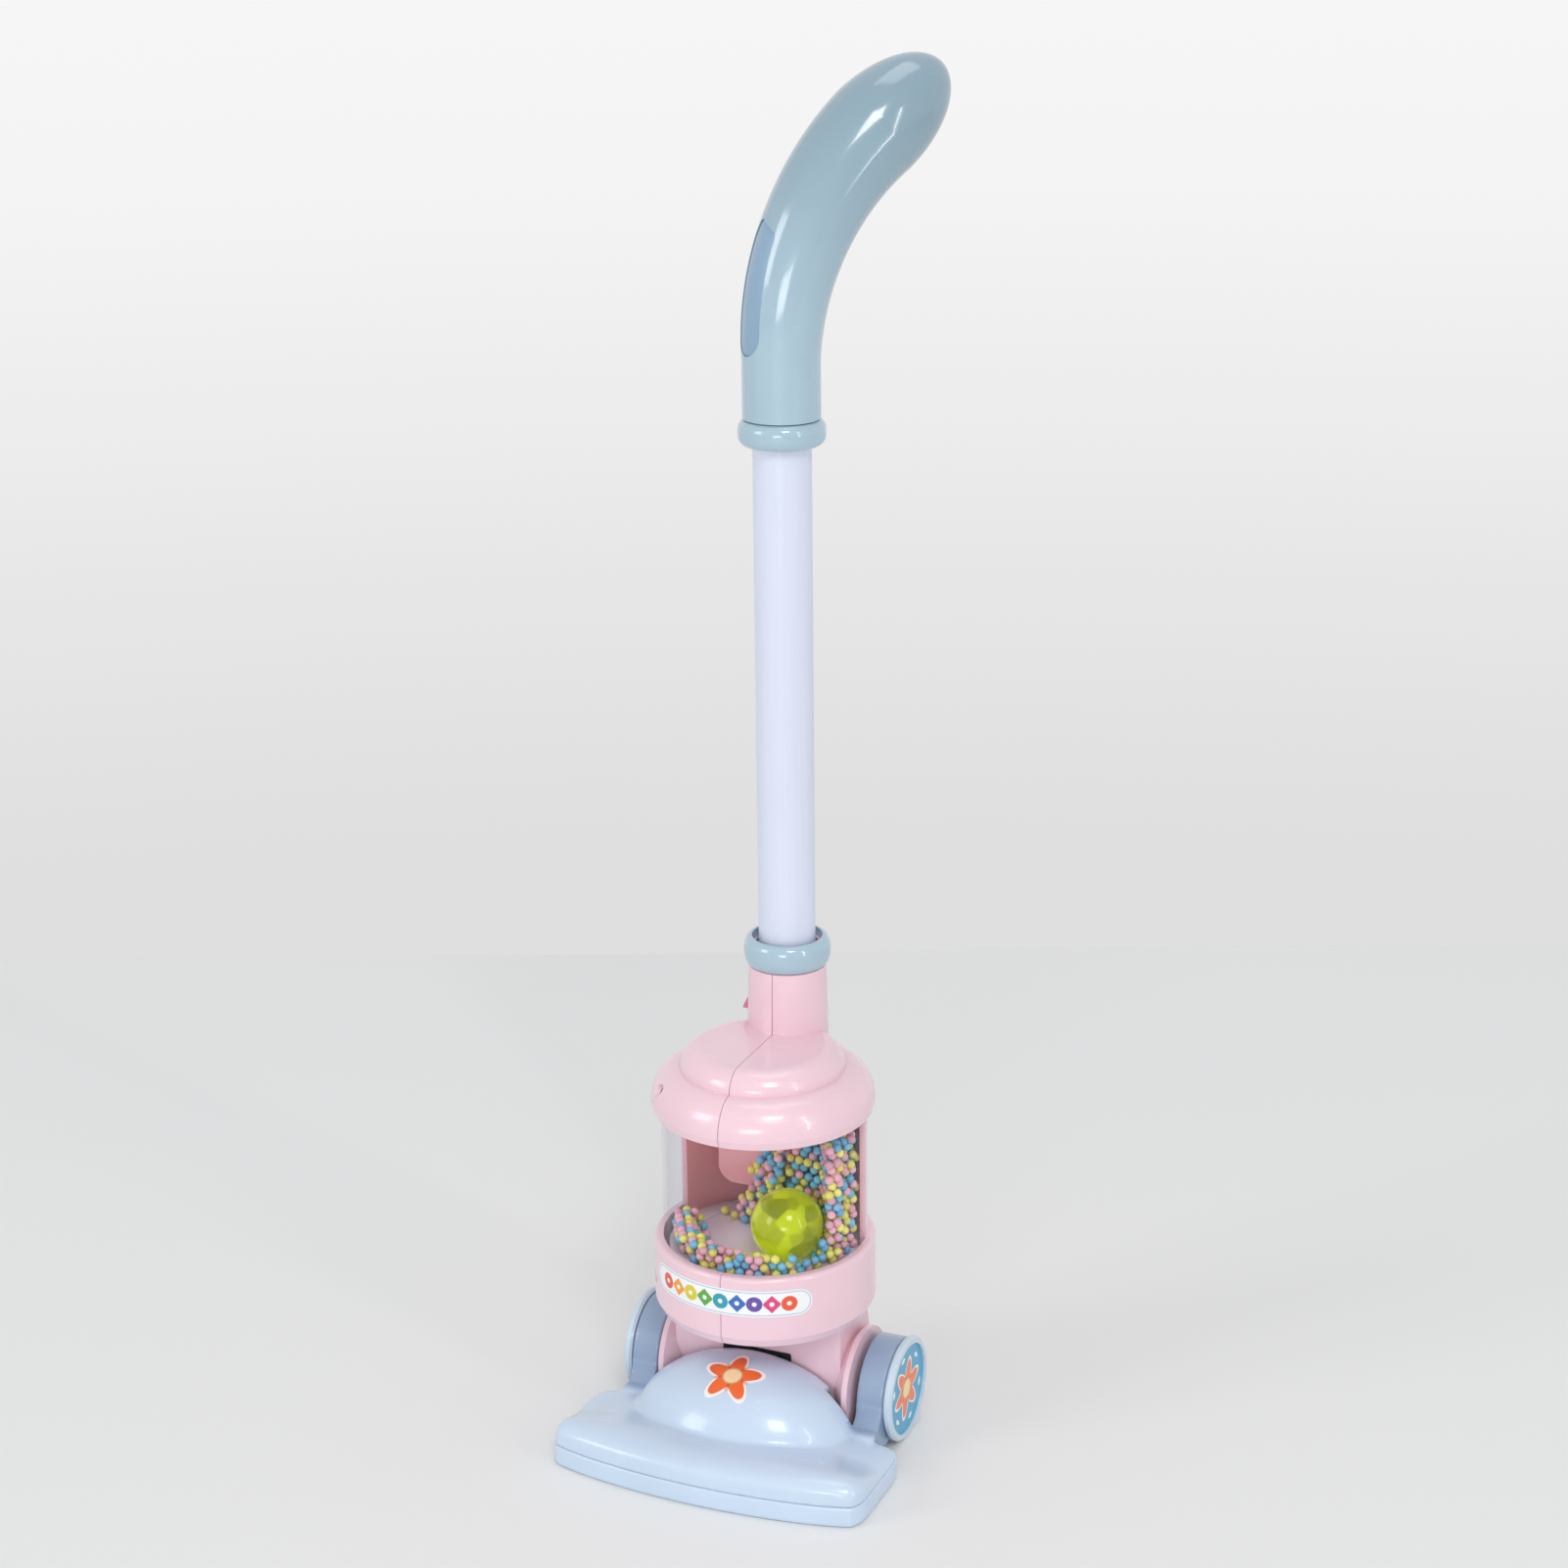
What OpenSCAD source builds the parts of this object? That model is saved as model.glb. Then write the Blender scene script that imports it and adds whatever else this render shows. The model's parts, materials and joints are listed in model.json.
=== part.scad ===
// Toy upright vacuum cleaner: floor head on two wheels, tilting body with a clear bead
// chamber, and a tube with a curved grip. Millimetres, +Z up, front towards -Y, floor at Z = 0.

/* [Tube] */
// Outside diameter of the straight tube
tube_d = 25; // [20:0.5:32]
// Wall of the tube
tube_wall = 1; // [0.8:0.1:2]
// Length of the tube
tube_len = 270; // [200:1:340]
// Depth of the tube's lower end in the neck
tube_sink = 8.3; // [6:0.1:12]
// Distance of the tube axis behind the origin
tube_y = 24; // [15:0.5:35]

/* [Grip] */
// Angle the grip is turned from straight back towards +X
grip_turn = 40; // [0:1:90]
// Depth of the tube's upper end in the grip
grip_sink = 18; // [10:1:22]
// Thickness of the grip's straight barrel around the tube
grip_t = 4.1; // [2.5:0.1:6]
// Length of the straight barrel
grip_straight = 25; // [22:0.5:40]
// Diameter of the grip where the bend ends
grip_d_max = 43.4; // [36:0.2:50]
// Radius of the bend at the grip's centre line
grip_bend_r = 115; // [90:1:140]
// Angle of the bend
grip_bend = 51.5; // [40:0.5:65]
// Length of the rounded end after the bend
grip_cap = 41; // [30:1:50]
// Wall of the grip halves
grip_wall = 1.8; // [1.4:0.1:3]
// Width of the thumb pad
pad_w = 17; // [12:0.5:20]
// Height of the thumb pad's rounded end above the start of the bend
pad_up = 2; // [1:0.5:8]
// Length of the thumb pad
pad_len = 55; // [40:1:62]
// Depth of the pad's face below the grip's surface
pad_sink = 0.8; // [0.4:0.1:1.2]
// Thickness of the collar around the tube
collar_t = 6.2; // [4:0.1:9]
// Height of the collar under the grip
collar_h = 11.8; // [8:0.2:18]

/* [Body] */
// Distance of the chamber axis in front of the tube axis
chamber_back = 28.5; // [20:0.5:35]
// Radius of the cup and of the dome's rim
body_r = 49.2; // [44:0.2:55]
// Wall of the body shells
wall = 2.2; // [1.6:0.1:3]
// Height of the edge under the cup above the axle
cup_up = 40.3; // [36:0.1:46]
// Height of the cup
cup_h = 31; // [26:0.5:38]
// Depth of the shallow bottom under the cup
cup_drop = 10; // [6:0.5:12]
// How far the shallow bottom draws in
cup_base_in = 19.2; // [12:0.2:26]
// Height of the clear part between the cup and the dome
window_h = 60.6; // [54:0.2:80]
// Height of the dome's widest line above its lower edge
rim_rise = 3.5; // [1.6:0.1:5]
// Height of the dome's round shoulder
rim_h = 15.6; // [12:0.2:24]
// Width of the dome's round shoulder
rim_w = 12.4; // [8:0.2:15]
// Rise of the cap above the crease
cap_rise = 9.6; // [4:0.1:14]
// Width of the rounded edge around the cap's flat top
cap_round = 10; // [6:0.2:14]
// Height of the neck's top above the crease
neck_h = 37.6; // [32:0.1:45]
// Wall of the neck at its top, around the bore for the tube
neck_wall = 3.2; // [2.4:0.1:5]
// How much wider the neck is at its foot
neck_taper = 1.4; // [0:0.1:3]
// Height of the ring on the neck
ring_h = 13; // [10:0.5:16]
// Thickness of the ring on the neck
ring_t = 3.7; // [3.4:0.1:6]
// Gap shown by the seam between the two shells
seam = 0.3; // [0.1:0.1:0.5]

/* [Chamber] */
// How far the clear window lies inside the cup's wall
window_in = 4.2; // [3.2:0.1:8]
// Wall of the clear window
window_wall = 1.6; // [1.2:0.1:2]
// Angle behind the sides where the window meets the back wall
window_end = 12; // [0:1:24]
// Depth of the bead floor below the cup's rim
floor_drop = 5; // [2:0.5:8]
// Width of the fixed floor around the spinning disc
rotor_rim = 9.6; // [8:0.2:14]
// Rise of the spinning disc's cone
rotor_rise = 3; // [1:0.5:6]
// Diameter of the loose ball
ball_d = 31.8; // [28:0.2:34]
// Diameter of one bead
bead_d = 4.2; // [3.5:0.1:4.8]

/* [Floor head] */
// Width of the floor head
head_w = 147.6; // [136:0.2:170]
// Distance of the front edge in front of the axle
head_reach = 91.5; // [86:0.5:104]
// Depth of the floor head
head_depth = 61.5; // [54:0.1:64]
// How far the front edge bows between its corners
head_bow = 8.5; // [0:0.1:20]
// Height of the tray below the seam
tray_h = 9.8; // [6:0.1:12]
// Height of the front roll above the seam
roll_h = 17.2; // [12:0.5:20]
// Radius of the round cover behind the roll
hood_dome_r = 36.6; // [32:0.2:46]
// Half length of the round cover
hood_dome_half = 52; // [46:0.5:56]
// Distance of the round cover's centre in front of the rear edge
hood_dome_in = 4.8; // [2:0.1:14]
// Height of the round cover's centre
hood_dome_z = 6.5; // [0:0.5:9]

/* [Wheels] */
// Wheel diameter
wheel_d = 47.4; // [42:0.2:54]
// Distance of the axle in front of the tube axis
axle_back = 19; // [12:0.5:26]
// Distance of the wheel's outer face from the middle
wheel_x = 65; // [60:0.5:72]
// Diameter of the steel axle
axle_d = 4; // [3:0.5:6]
// How far the hoods draw in from the wheels' rims
hood_in = 1.1; // [0.6:0.1:4]
// Radial gap of the turning fits
run_gap = 0.05; // [0.02:0.01:0.1]

/* [Hidden] */
$fn = 64;
cut = 1;
far = 400;
fit = 0.1;
side_gap = 0.4;
curve_steps = 16;
tube_r = tube_d / 2;
axle_r = axle_d / 2;
wheel_r = wheel_d / 2;
hood_r = wheel_r - hood_in;
ball_r = ball_d / 2;
bead_r = bead_d / 2;
chamber_y = tube_y - chamber_back;
axle_y = tube_y - axle_back;
axle_z = wheel_r;
grip_r = tube_r + grip_t;
grip_r_max = grip_d_max / 2;

// levels, from the axle up
cup_z0 = axle_z + cup_up;
cup_z1 = cup_z0 + cup_h;
cup_base_z = cup_z0 - cup_drop;
floor_z = cup_z1 - floor_drop;
dome_z0 = cup_z1 + window_h;
dome_wide_z = dome_z0 + rim_rise;
crease_z = dome_wide_z + rim_h;
neck_z = crease_z + neck_h;
tube_bottom_z = neck_z - tube_sink;
tube_top_z = tube_bottom_z + tube_len;
grip_seam_z = tube_top_z - grip_sink;
collar_z = grip_seam_z - collar_h;
grip_bend_z = grip_seam_z + grip_straight;
pad_z0 = grip_bend_z + pad_up;
pad_z1 = pad_z0 + pad_len;

// dome, cup and back wall
window_r = body_r - window_in;
crease_r = body_r - rim_w;
cup_base_r = body_r - cup_base_in;
crease_step = 0.4;
cap_r = crease_r - crease_step;
dome_lip = 1;
socket_r = window_r + fit;
cup_in_r = body_r - wall;
cup_round = 2;
floor_h = 4;
ledge_z = floor_z - floor_h;
ledge_t = 2;
ledge_w = 1.6;
back_step = 0.6;
back_t = 2.8;
back_over = 0.8;
back_r = window_r + back_step;
back_in_r = back_r - back_t;
back_z0 = ledge_z + fit;
back_z1 = dome_wide_z + back_over;
floor_r = back_in_r - fit * 2;
ledge_r = floor_r - ledge_w;

// neck around the tube
neck_sink = 4.4;
neck_foot_z = dome_z0 + neck_sink;
rib_h = 1.5;
rib_count = 8;
rib_w = 1.6;
neck_bore_r = tube_r + rib_h;
neck_r1 = neck_bore_r + neck_wall;
neck_r0 = neck_r1 + neck_taper;
neck_in_r = neck_r1 - wall;
stop_t = 3;
stop_w = 4.5;
stop_r = tube_r - stop_w;
stop_gap = 0.3;
stop_z = tube_bottom_z - stop_gap - stop_t;
spigot_wall = 1.4;
spigot_short = 3.8;
spigot_r = neck_bore_r + spigot_wall;
spigot_h = ring_h - spigot_short;

// screws of all kinds
screw_r = 1.2;
screw_head_r = 2.6;
screw_head_t = 1.6;

// wheels and their hoods, from the outside in
wheel_t = 3.6;
hood_w = 12.5;
hood_wall = 2.2;
hood_boss_wall = 3;
hood_boss_r = axle_r + hood_boss_wall;
hood_x1 = wheel_x - wheel_t - side_gap;
hood_x0 = hood_x1 - hood_w;
nut_wall = 2;
nut_clear = 1;
nut_t = 1;
nut_r = axle_r + nut_wall;
nut_pocket_r = nut_r + nut_clear;
axle_short = 0.2;
hub_wall = 1;
hub_r = nut_pocket_r + hub_wall;
hub_x = hood_x0 + hood_wall + side_gap;
wheel_in_x = hood_x1 + side_gap;
lip_w = 3.1;
lip_t = 1.4;
lip_r = wheel_r - lip_w;
label_t = 0.3;
label_gap = 0.05;

// yoke that carries the body on the axle
yoke_lift = 3.7;
yoke_r = wheel_r - yoke_lift;
yoke_in = yoke_r - wall;
yoke_lean_share = 0.55;
cheek_clear = 2.8;
cheek_step = 5.7;
cheek_grow = 0.8;
cheek_off = 3.5;
cheek_dir = 34;
cheek_t = 2.4;
cheek_flare = 6.5;
cheek_flare_in = 3;
cheek_x = hood_x0 - cheek_clear;
cheek_r = wheel_r + cheek_grow;
cheek_flare_r = yoke_r - cheek_flare_in;
yoke_half = cheek_x - cheek_step;
yoke_end_t = 2.4;
yoke_in_half = yoke_half - yoke_end_t;

// floor head
half_w = head_w / 2;
head_front_y = axle_y - head_reach;
head_rear_y = head_front_y + head_depth;
hood_dome_y = head_rear_y - hood_dome_in;
tray_gap = 0.2;
cover_z = tray_h + tray_gap;
cover_inset = 0.5;
cover_wall = 2.2;
corner_share = 0.05;
corner_power = 8;
end_share = 0.36;
edge_share = 0.42;
slope_share = 0.8;
slope_back = 10.5;
slope_len = 30;
// in the middle the roll is lower in front and falls less behind
mid_dip = 0.28;
mid_keep = 0.75;
slope_y = head_front_y + slope_back;
grid_u = 26;
grid_v = 18;
grid_in_u = 16;
grid_in_v = 12;
boss_wall = 2.2;
boss_r = screw_r + boss_wall;
// base screws on each side: shares of the half width and of the half depth
base_screw_shares = [[0.79, -0.28], [0.85, 0.6]];
body_gap = 1.5;
cheek_gap = 1;
arm_z = 3.5;
arm_root = 14.6;
// top of the arm: shares of the hood's radius in front of it and of the axle's height below it
arm_top_shares = [[0, 0], [0.07, 0.2], [0.22, 0.33], [0.5, 0.38], [0.8, 0.5]];

// chamber floor, disc and motor
rotor_r = floor_r - rotor_rim;
pan_t = 1.4;
rotor_gap = 0.6;
rotor_t = 2;
rotor_tip_r = 6;
rotor_shoulder_share = 0.7;
rotor_shoulder_rise_share = 1.6;
rotor_tip_share = 2;
shaft_r = 1;
motor_r = 10;
motor_wall = 1;
motor_lift = 3.8;
motor_drop = 1.6;
motor_z0 = cup_base_z + wall + motor_lift;
motor_z1 = ledge_z - motor_drop;
clamp_t = 1.6;
clamp_h = 16;
clamp_z0 = ledge_z - clamp_h;
ceiling_t = 1.8;

// battery column, from the ceiling down
cell_r = 5.2;
cell_len = 43.2;
cell_gap = 1.6;
cell_pitch = cell_r * 2 + cell_gap;
nub_r = 1.9;
nub_h = 1;
plate_t = 1.2;
spring_h = 2;
spring_r = 3.4;
box_t = 2;
box_top_gap = 0.2;
box_z1 = dome_z0 - box_top_gap;
box_z0 = box_z1 - plate_t - nub_h - cell_len - spring_h - box_t;
box_half = 30;
box_corner = 8;
box_y = 17.5;
cell_side_gap = 1.8;
cell_front_gap = 4.3;
cell_y = box_y + box_t + cell_front_gap + cell_r;
cell_z = box_z0 + box_t + spring_h;
box_cell_half = cell_pitch + cell_r + cell_side_gap + box_t / 2;
door_top_gap = 5.4;
door_half = box_cell_half - box_t;
door_z0 = box_z0 + box_t;
door_z1 = box_z1 - door_top_gap;
door_gap = 0.15;
door_screw_up = 4;
door_screw_z = door_z0 + door_screw_up;

// loose ball
ball_wall = 1.2;
ball_gap = 0.3;
ball_turn = -41.2;
ball_seat_share = 0.85;
bead_gap = 0.1;
bead_step = 4.5;

// switch on the left of the neck
knob_h = 6;
knob_w = 6;
knob_drop = 12.2;
knob_travel = 4;
knob_proud = 3.1;
knob_tail = 0.6;
knob_top_proud = 0.6;
knob_lip = 1;
knob_gap = 0.3;
knob_z = stop_z - knob_drop;
knob_out = neck_r1 + knob_proud;
knob_top = neck_r1 + knob_top_proud;
knob_in = neck_in_r - knob_tail;
switch_w = 8;
switch_t = 5.2;
switch_h = 13;
switch_gap = 0.2;
switch_x1 = knob_in - switch_gap;
switch_x0 = switch_x1 - switch_t;

// screws through the left shell, as shares of the body's radius and of the rise of dome and cup
dome_screw_shares = [-0.58, 0.73];
dome_screw_rise_share = 0.55;
cup_screw_shares = [-0.51, 0.55];
cup_screw_rise_share = 0.39;
dome_screw_z = dome_wide_z + rim_h * dome_screw_rise_share;
dome_wall_r = crease_r + rim_w * sqrt(1 - pow(dome_screw_rise_share, 2)) - wall / 2;
cup_screw_z = cup_z0 + (cup_z1 - cup_z0) * cup_screw_rise_share;
// [distance from the chamber axis, height, middle of the wall there]
shell_screws_at = concat([for (s = dome_screw_shares) [body_r * s, dome_screw_z, dome_wall_r]],
    [for (s = cup_screw_shares) [body_r * s, cup_screw_z, body_r - wall / 2]]);
shell_boss_r = 4.2;
shell_hole_r = 3;
shell_head_x = 6;
shell_boss_x = 3;
shell_screw_len = 13;

// labels
front_label_half = 47.5;
front_label_up = 13.2;
front_label_h = 12.5;
front_label_z0 = cup_z0 + front_label_up;
dome_label_r = 15;
dome_label_tilt = 70;

// placing helpers
module at_tube() {
    translate([0, tube_y, 0]) children();
}

module at_chamber() {
    translate([0, chamber_y, 0]) children();
}

module at_axle() {
    translate([0, axle_y, axle_z]) children();
}

module both_sides() {
    children();
    mirror([1, 0, 0]) children();
}

// simple solids
module rod_x(x0, len, r) {
    translate([x0, 0, 0]) rotate([0, 90, 0]) cylinder(r = r, h = len);
}

module plate_x(x0, len) {
    translate([x0, 0, 0]) rotate([90, 0, 90]) linear_extrude(height = len) children();
}

module block(x0, x1, y0, y1, z0, z1) {
    translate([x0, y0, z0]) cube([x1 - x0, y1 - y0, z1 - z0]);
}

module pillar(r, z0, z1) {
    translate([0, 0, z0]) cylinder(r = r, h = z1 - z0);
}

module band(r_out, r_in, z0, z1) {
    difference() {
        pillar(r_out, z0, z1);
        pillar(r_in, z0 - cut, z1 + cut);
    }
}

module sector(r_out, r_in, z0, z1, from, sweep) {
    translate([0, 0, z0]) rotate([0, 0, from]) rotate_extrude(angle = sweep)
        translate([r_in, 0]) square([r_out - r_in, z1 - z0]);
}

module half_space(side) {
    translate([side > 0 ? seam / 2 : -far - seam / 2, -far / 2, 0]) cube([far, far, far * 2]);
}

// a ring with rounded outer edges
module soft_ring(r_out, r_in, z0, z1, round_r) {
    rotate_extrude() difference() {
        union() {
            translate([r_in, z0]) square([r_out - round_r - r_in, z1 - z0]);
            translate([r_in, z0 + round_r]) square([r_out - r_in, z1 - z0 - round_r * 2]);
            translate([r_out - round_r, z0 + round_r]) circle(r = round_r);
            translate([r_out - round_r, z1 - round_r]) circle(r = round_r);
        }
        translate([r_in - round_r * 2, z0 - cut]) square([round_r * 2, z1 - z0 + cut * 2]);
    }
}

// dome and cup: half profiles turned about the chamber axis
function arc_pts(cx, cz, a, b, from, to) =
    [for (i = [0 : curve_steps]) let (t = from + (to - from) * i / curve_steps)
        [cx + a * cos(t), cz + b * sin(t)]];

module dome_solid() {
    rotate_extrude() polygon(concat(
        [[0, dome_z0], [body_r - dome_lip, dome_z0]],
        arc_pts(crease_r, dome_wide_z, rim_w, rim_h, 0, 90),
        [[cap_r, crease_z]],
        arc_pts(cap_r - cap_round, crease_z, cap_round, cap_rise, 0, 90),
        [[0, crease_z + cap_rise]]));
}

module dome_hollow() {
    rotate_extrude() polygon(concat(
        [[0, dome_z0 - cut], [socket_r, dome_z0 - cut], [socket_r, dome_wide_z]],
        arc_pts(crease_r, dome_wide_z, rim_w - wall, rim_h - wall, 0, 90),
        [[cap_r - wall, crease_z - wall]],
        arc_pts(cap_r - wall - cap_round, crease_z - wall, cap_round, cap_rise, 0, 90),
        [[0, crease_z - wall + cap_rise]]));
}

module cup_solid() {
    rotate_extrude() {
        polygon([[0, cup_base_z], [cup_base_r, cup_base_z], [body_r - cup_round, cup_z0 - cup_round],
            [body_r, cup_z0 + cup_round], [body_r, cup_z1 - cup_round], [0, cup_z1 - cup_round]]);
        translate([body_r - cup_round, cup_z1 - cup_round]) circle(r = cup_round);
        translate([0, cup_z1 - cup_round * 2]) square([body_r - cup_round, cup_round * 2]);
    }
}

module cup_hollow() {
    pillar(socket_r, ledge_z, cup_z1 + cut);
    pillar(ledge_r, ledge_z - ledge_t - cut, ledge_z + cut);
    pillar(cup_in_r, cup_z0 + cup_round, ledge_z - ledge_t);
    translate([0, 0, cup_base_z + wall])
        cylinder(r1 = cup_base_r - wall, r2 = cup_in_r, h = cup_z0 + cup_round - cup_base_z - wall);
}

module neck_solid() {
    translate([0, 0, neck_foot_z]) cylinder(r1 = neck_r0, r2 = neck_r1, h = neck_z - neck_foot_z);
    pillar(spigot_r, neck_z - cut, neck_z + spigot_h);
}

module neck_hollow() {
    pillar(neck_in_r, neck_foot_z - cut, stop_z);
    pillar(stop_r, neck_foot_z, neck_z);
    pillar(neck_bore_r, stop_z + stop_t, neck_z + spigot_h + cut);
}

module neck_ribs() {
    difference() {
        for (i = [0 : rib_count - 1])
            rotate([0, 0, (i + 0.5) * 360 / rib_count])
                block(tube_r - cut, neck_bore_r + fit, -rib_w / 2, rib_w / 2,
                    stop_z + stop_t, neck_z + spigot_h);
        pillar(tube_r + run_gap, stop_z, neck_z + spigot_h + cut);
    }
}

module yoke_outline(r, top) {
    circle(r = r);
    polygon([[-r, 0], [r, 0], [r * yoke_lean_share, top - axle_z], [-r, top - axle_z]]);
}

module yoke_solid() {
    at_axle() {
        plate_x(-yoke_half, yoke_half * 2) yoke_outline(yoke_r, cup_z0 - cup_round * 2);
        both_sides() translate([0, -cheek_off * cos(cheek_dir), cheek_off * sin(cheek_dir)]) {
            rod_x(cheek_x - cheek_t, cheek_t, cheek_r);
            translate([cheek_x - cheek_t - cheek_flare, 0, 0]) rotate([0, 90, 0])
                cylinder(r1 = cheek_flare_r, r2 = cheek_r, h = cheek_flare);
        }
    }
}

module yoke_hollow() {
    at_axle() plate_x(-yoke_in_half, yoke_in_half * 2) yoke_outline(yoke_in, cup_z0);
}

// one half of the pink body
module body_shell(side) {
    difference() {
        union() {
            intersection() {
                difference() {
                    union() {
                        at_chamber() dome_solid();
                        at_chamber() cup_solid();
                        at_tube() neck_solid();
                        yoke_solid();
                    }
                    at_chamber() dome_hollow();
                    at_chamber() cup_hollow();
                    at_tube() neck_hollow();
                    yoke_hollow();
                }
                half_space(side);
            }
            intersection() {
                at_tube() neck_ribs();
                half_space(side);
            }
            back_wall(side);
            for (s = shell_screws_at) shell_boss(s, side);
        }
        at_axle() rod_x(-far / 2, far, axle_r + run_gap);
        at_chamber() block(-door_half, door_half, box_half, back_r + cut, door_z0, door_z1);
        at_chamber() translate([0, 0, door_screw_z]) rotate([-90, 0, 0])
            cylinder(r = screw_r + fit, h = back_r);
        for (s = shell_screws_at) shell_hole(s);
        switch_window();
    }
}

module back_wall(side) {
    edge = seam / 2 / back_r * 180 / PI;
    at_chamber() sector(back_r, back_in_r, back_z0, back_z1,
        side > 0 ? window_end : 90 + edge, 90 - window_end - edge);
}

function boss_end(s) = sqrt(pow(s[2], 2) - pow(abs(s[0]) + shell_boss_r, 2));

module shell_boss(s, side) {
    translate([0, chamber_y + s[0], s[1]]) {
        if (side < 0) rod_x(-boss_end(s), boss_end(s) - shell_boss_x, shell_boss_r);
        else rod_x(fit - shell_boss_x, boss_end(s) + shell_boss_x - fit, shell_boss_r - fit);
    }
}

module shell_hole(s) {
    translate([0, chamber_y + s[0], s[1]]) {
        rod_x(-far, far - shell_head_x, shell_hole_r);
        rod_x(-shell_head_x - cut, shell_screw_len + cut * 2, screw_r + fit);
    }
}

module switch_window() {
    block(-knob_out, -neck_bore_r, tube_y - knob_w / 2 - knob_gap, tube_y + knob_w / 2 + knob_gap,
        knob_z - knob_gap, knob_z + knob_travel + knob_h + knob_gap);
}

module body_left_shell() {
    color([0.94, 0.78, 0.84]) body_shell(-1);
}

module body_right_shell() {
    color([0.94, 0.78, 0.84]) body_shell(1);
}

module shell_screws() {
    color([0.75, 0.75, 0.78]) for (s = shell_screws_at) translate([0, chamber_y + s[0], s[1]]) {
        rod_x(-shell_head_x - screw_head_t, screw_head_t, screw_head_r);
        rod_x(-shell_head_x - fit, shell_screw_len, screw_r);
    }
}

// clear chamber and what is in it
module clear_window() {
    edge = fit * 2 / window_r * 180 / PI;
    color([0.9, 0.93, 0.96, 0.3]) at_chamber()
        sector(window_r, window_r - window_wall, ledge_z + fit, back_z1,
            180 - window_end + edge, 180 + (window_end - edge) * 2);
}

module chamber_floor() {
    color([0.9, 0.9, 0.95]) at_chamber() {
        band(floor_r, rotor_r + rotor_gap, ledge_z + fit, floor_z);
        band(rotor_r + rotor_gap + fit, shaft_r + rotor_gap, ledge_z + fit, ledge_z + fit + pan_t);
    }
}

module chamber_ceiling() {
    color([0.94, 0.78, 0.84]) at_chamber() pillar(floor_r, dome_z0, dome_z0 + ceiling_t);
}

module motor() {
    color([0.7, 0.7, 0.72]) at_chamber() {
        difference() {
            band(motor_r, shaft_r + run_gap, motor_z0, motor_z1);
            pillar(motor_r - motor_wall, motor_z0 + motor_wall, motor_z1 - motor_wall);
        }
        band(shaft_r * 3, shaft_r + run_gap, motor_z1 - fit, ledge_z - fit);
    }
}

module motor_clamp() {
    color([0.9, 0.9, 0.92]) at_chamber() {
        band(motor_r + fit + clamp_t, motor_r + fit, clamp_z0, ledge_z - fit);
        band(motor_r + clamp_t * 4, motor_r + clamp_t, ledge_z - fit - clamp_t, ledge_z - fit);
    }
}

module motor_shaft() {
    color([0.75, 0.75, 0.78]) at_chamber() pillar(shaft_r, motor_z0 + cut, floor_z + rotor_rise - cut);
}

module rotor() {
    rotor_z0 = floor_z - rotor_t;
    color([0.92, 0.9, 0.97]) at_chamber() difference() {
        rotate_extrude() polygon([[0, rotor_z0], [rotor_r, rotor_z0], [rotor_r, floor_z],
            [rotor_tip_r, floor_z + rotor_rise],
            [rotor_tip_r * rotor_shoulder_share, floor_z + rotor_rise * rotor_shoulder_rise_share],
            [0, floor_z + rotor_rise * rotor_tip_share]]);
        pillar(shaft_r + run_gap, rotor_z0 - cut, floor_z + rotor_rise - cut + fit);
    }
}

module box_plate_outline() {
    translate([-box_half, box_z0 + box_corner]) square([box_half * 2, box_z1 - box_z0 - box_corner]);
    translate([-box_half + box_corner, box_z0]) square([(box_half - box_corner) * 2, box_corner * 2]);
    for (s = [-1, 1]) translate([s * (box_half - box_corner), box_z0 + box_corner])
        circle(r = box_corner);
}

module battery_box() {
    color([0.94, 0.78, 0.84]) at_chamber() difference() {
        union() {
            translate([0, box_y + box_t, 0]) rotate([90, 0, 0])
                linear_extrude(height = box_t) box_plate_outline();
            intersection() {
                union() {
                    for (s = [-1, 1]) translate([s * box_cell_half, 0, 0])
                        block(-box_t / 2, box_t / 2, box_y + box_t - fit, back_in_r,
                            box_z0 + box_t, box_z1);
                    block(-box_cell_half - box_t / 2, box_cell_half + box_t / 2, box_y + box_t - fit,
                        back_in_r, box_z0, box_z0 + box_t);
                    block(-box_t * 2, box_t * 2, cell_y + cell_r + box_t, back_in_r,
                        box_z0, door_screw_z + box_t * 2);
                }
                pillar(back_in_r - fit, box_z0 - cut, box_z1 + cut);
            }
        }
        translate([0, cell_y, door_screw_z]) rotate([-90, 0, 0]) cylinder(r = screw_r + fit, h = back_r);
    }
}

module batteries() {
    color([0.25, 0.45, 0.3]) at_chamber() for (i = [-1 : 1])
        translate([i * cell_pitch, cell_y, 0]) {
            pillar(cell_r, cell_z, cell_z + cell_len);
            pillar(nub_r, cell_z + cell_len - fit, cell_z + cell_len + nub_h);
        }
}

module battery_springs() {
    color([0.75, 0.75, 0.78]) at_chamber() for (i = [-1 : 1])
        translate([i * cell_pitch, cell_y, box_z0 + box_t + fit])
            cylinder(r1 = spring_r, r2 = nub_r, h = cell_z - box_z0 - box_t - fit * 2);
}

module battery_plates() {
    z0 = cell_z + cell_len + nub_h + fit;
    color([0.75, 0.75, 0.78]) at_chamber() for (i = [-1 : 1])
        translate([i * cell_pitch, cell_y, 0])
            block(-spring_r, spring_r, -spring_r, spring_r, z0, box_z1 + fit);
}

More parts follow.
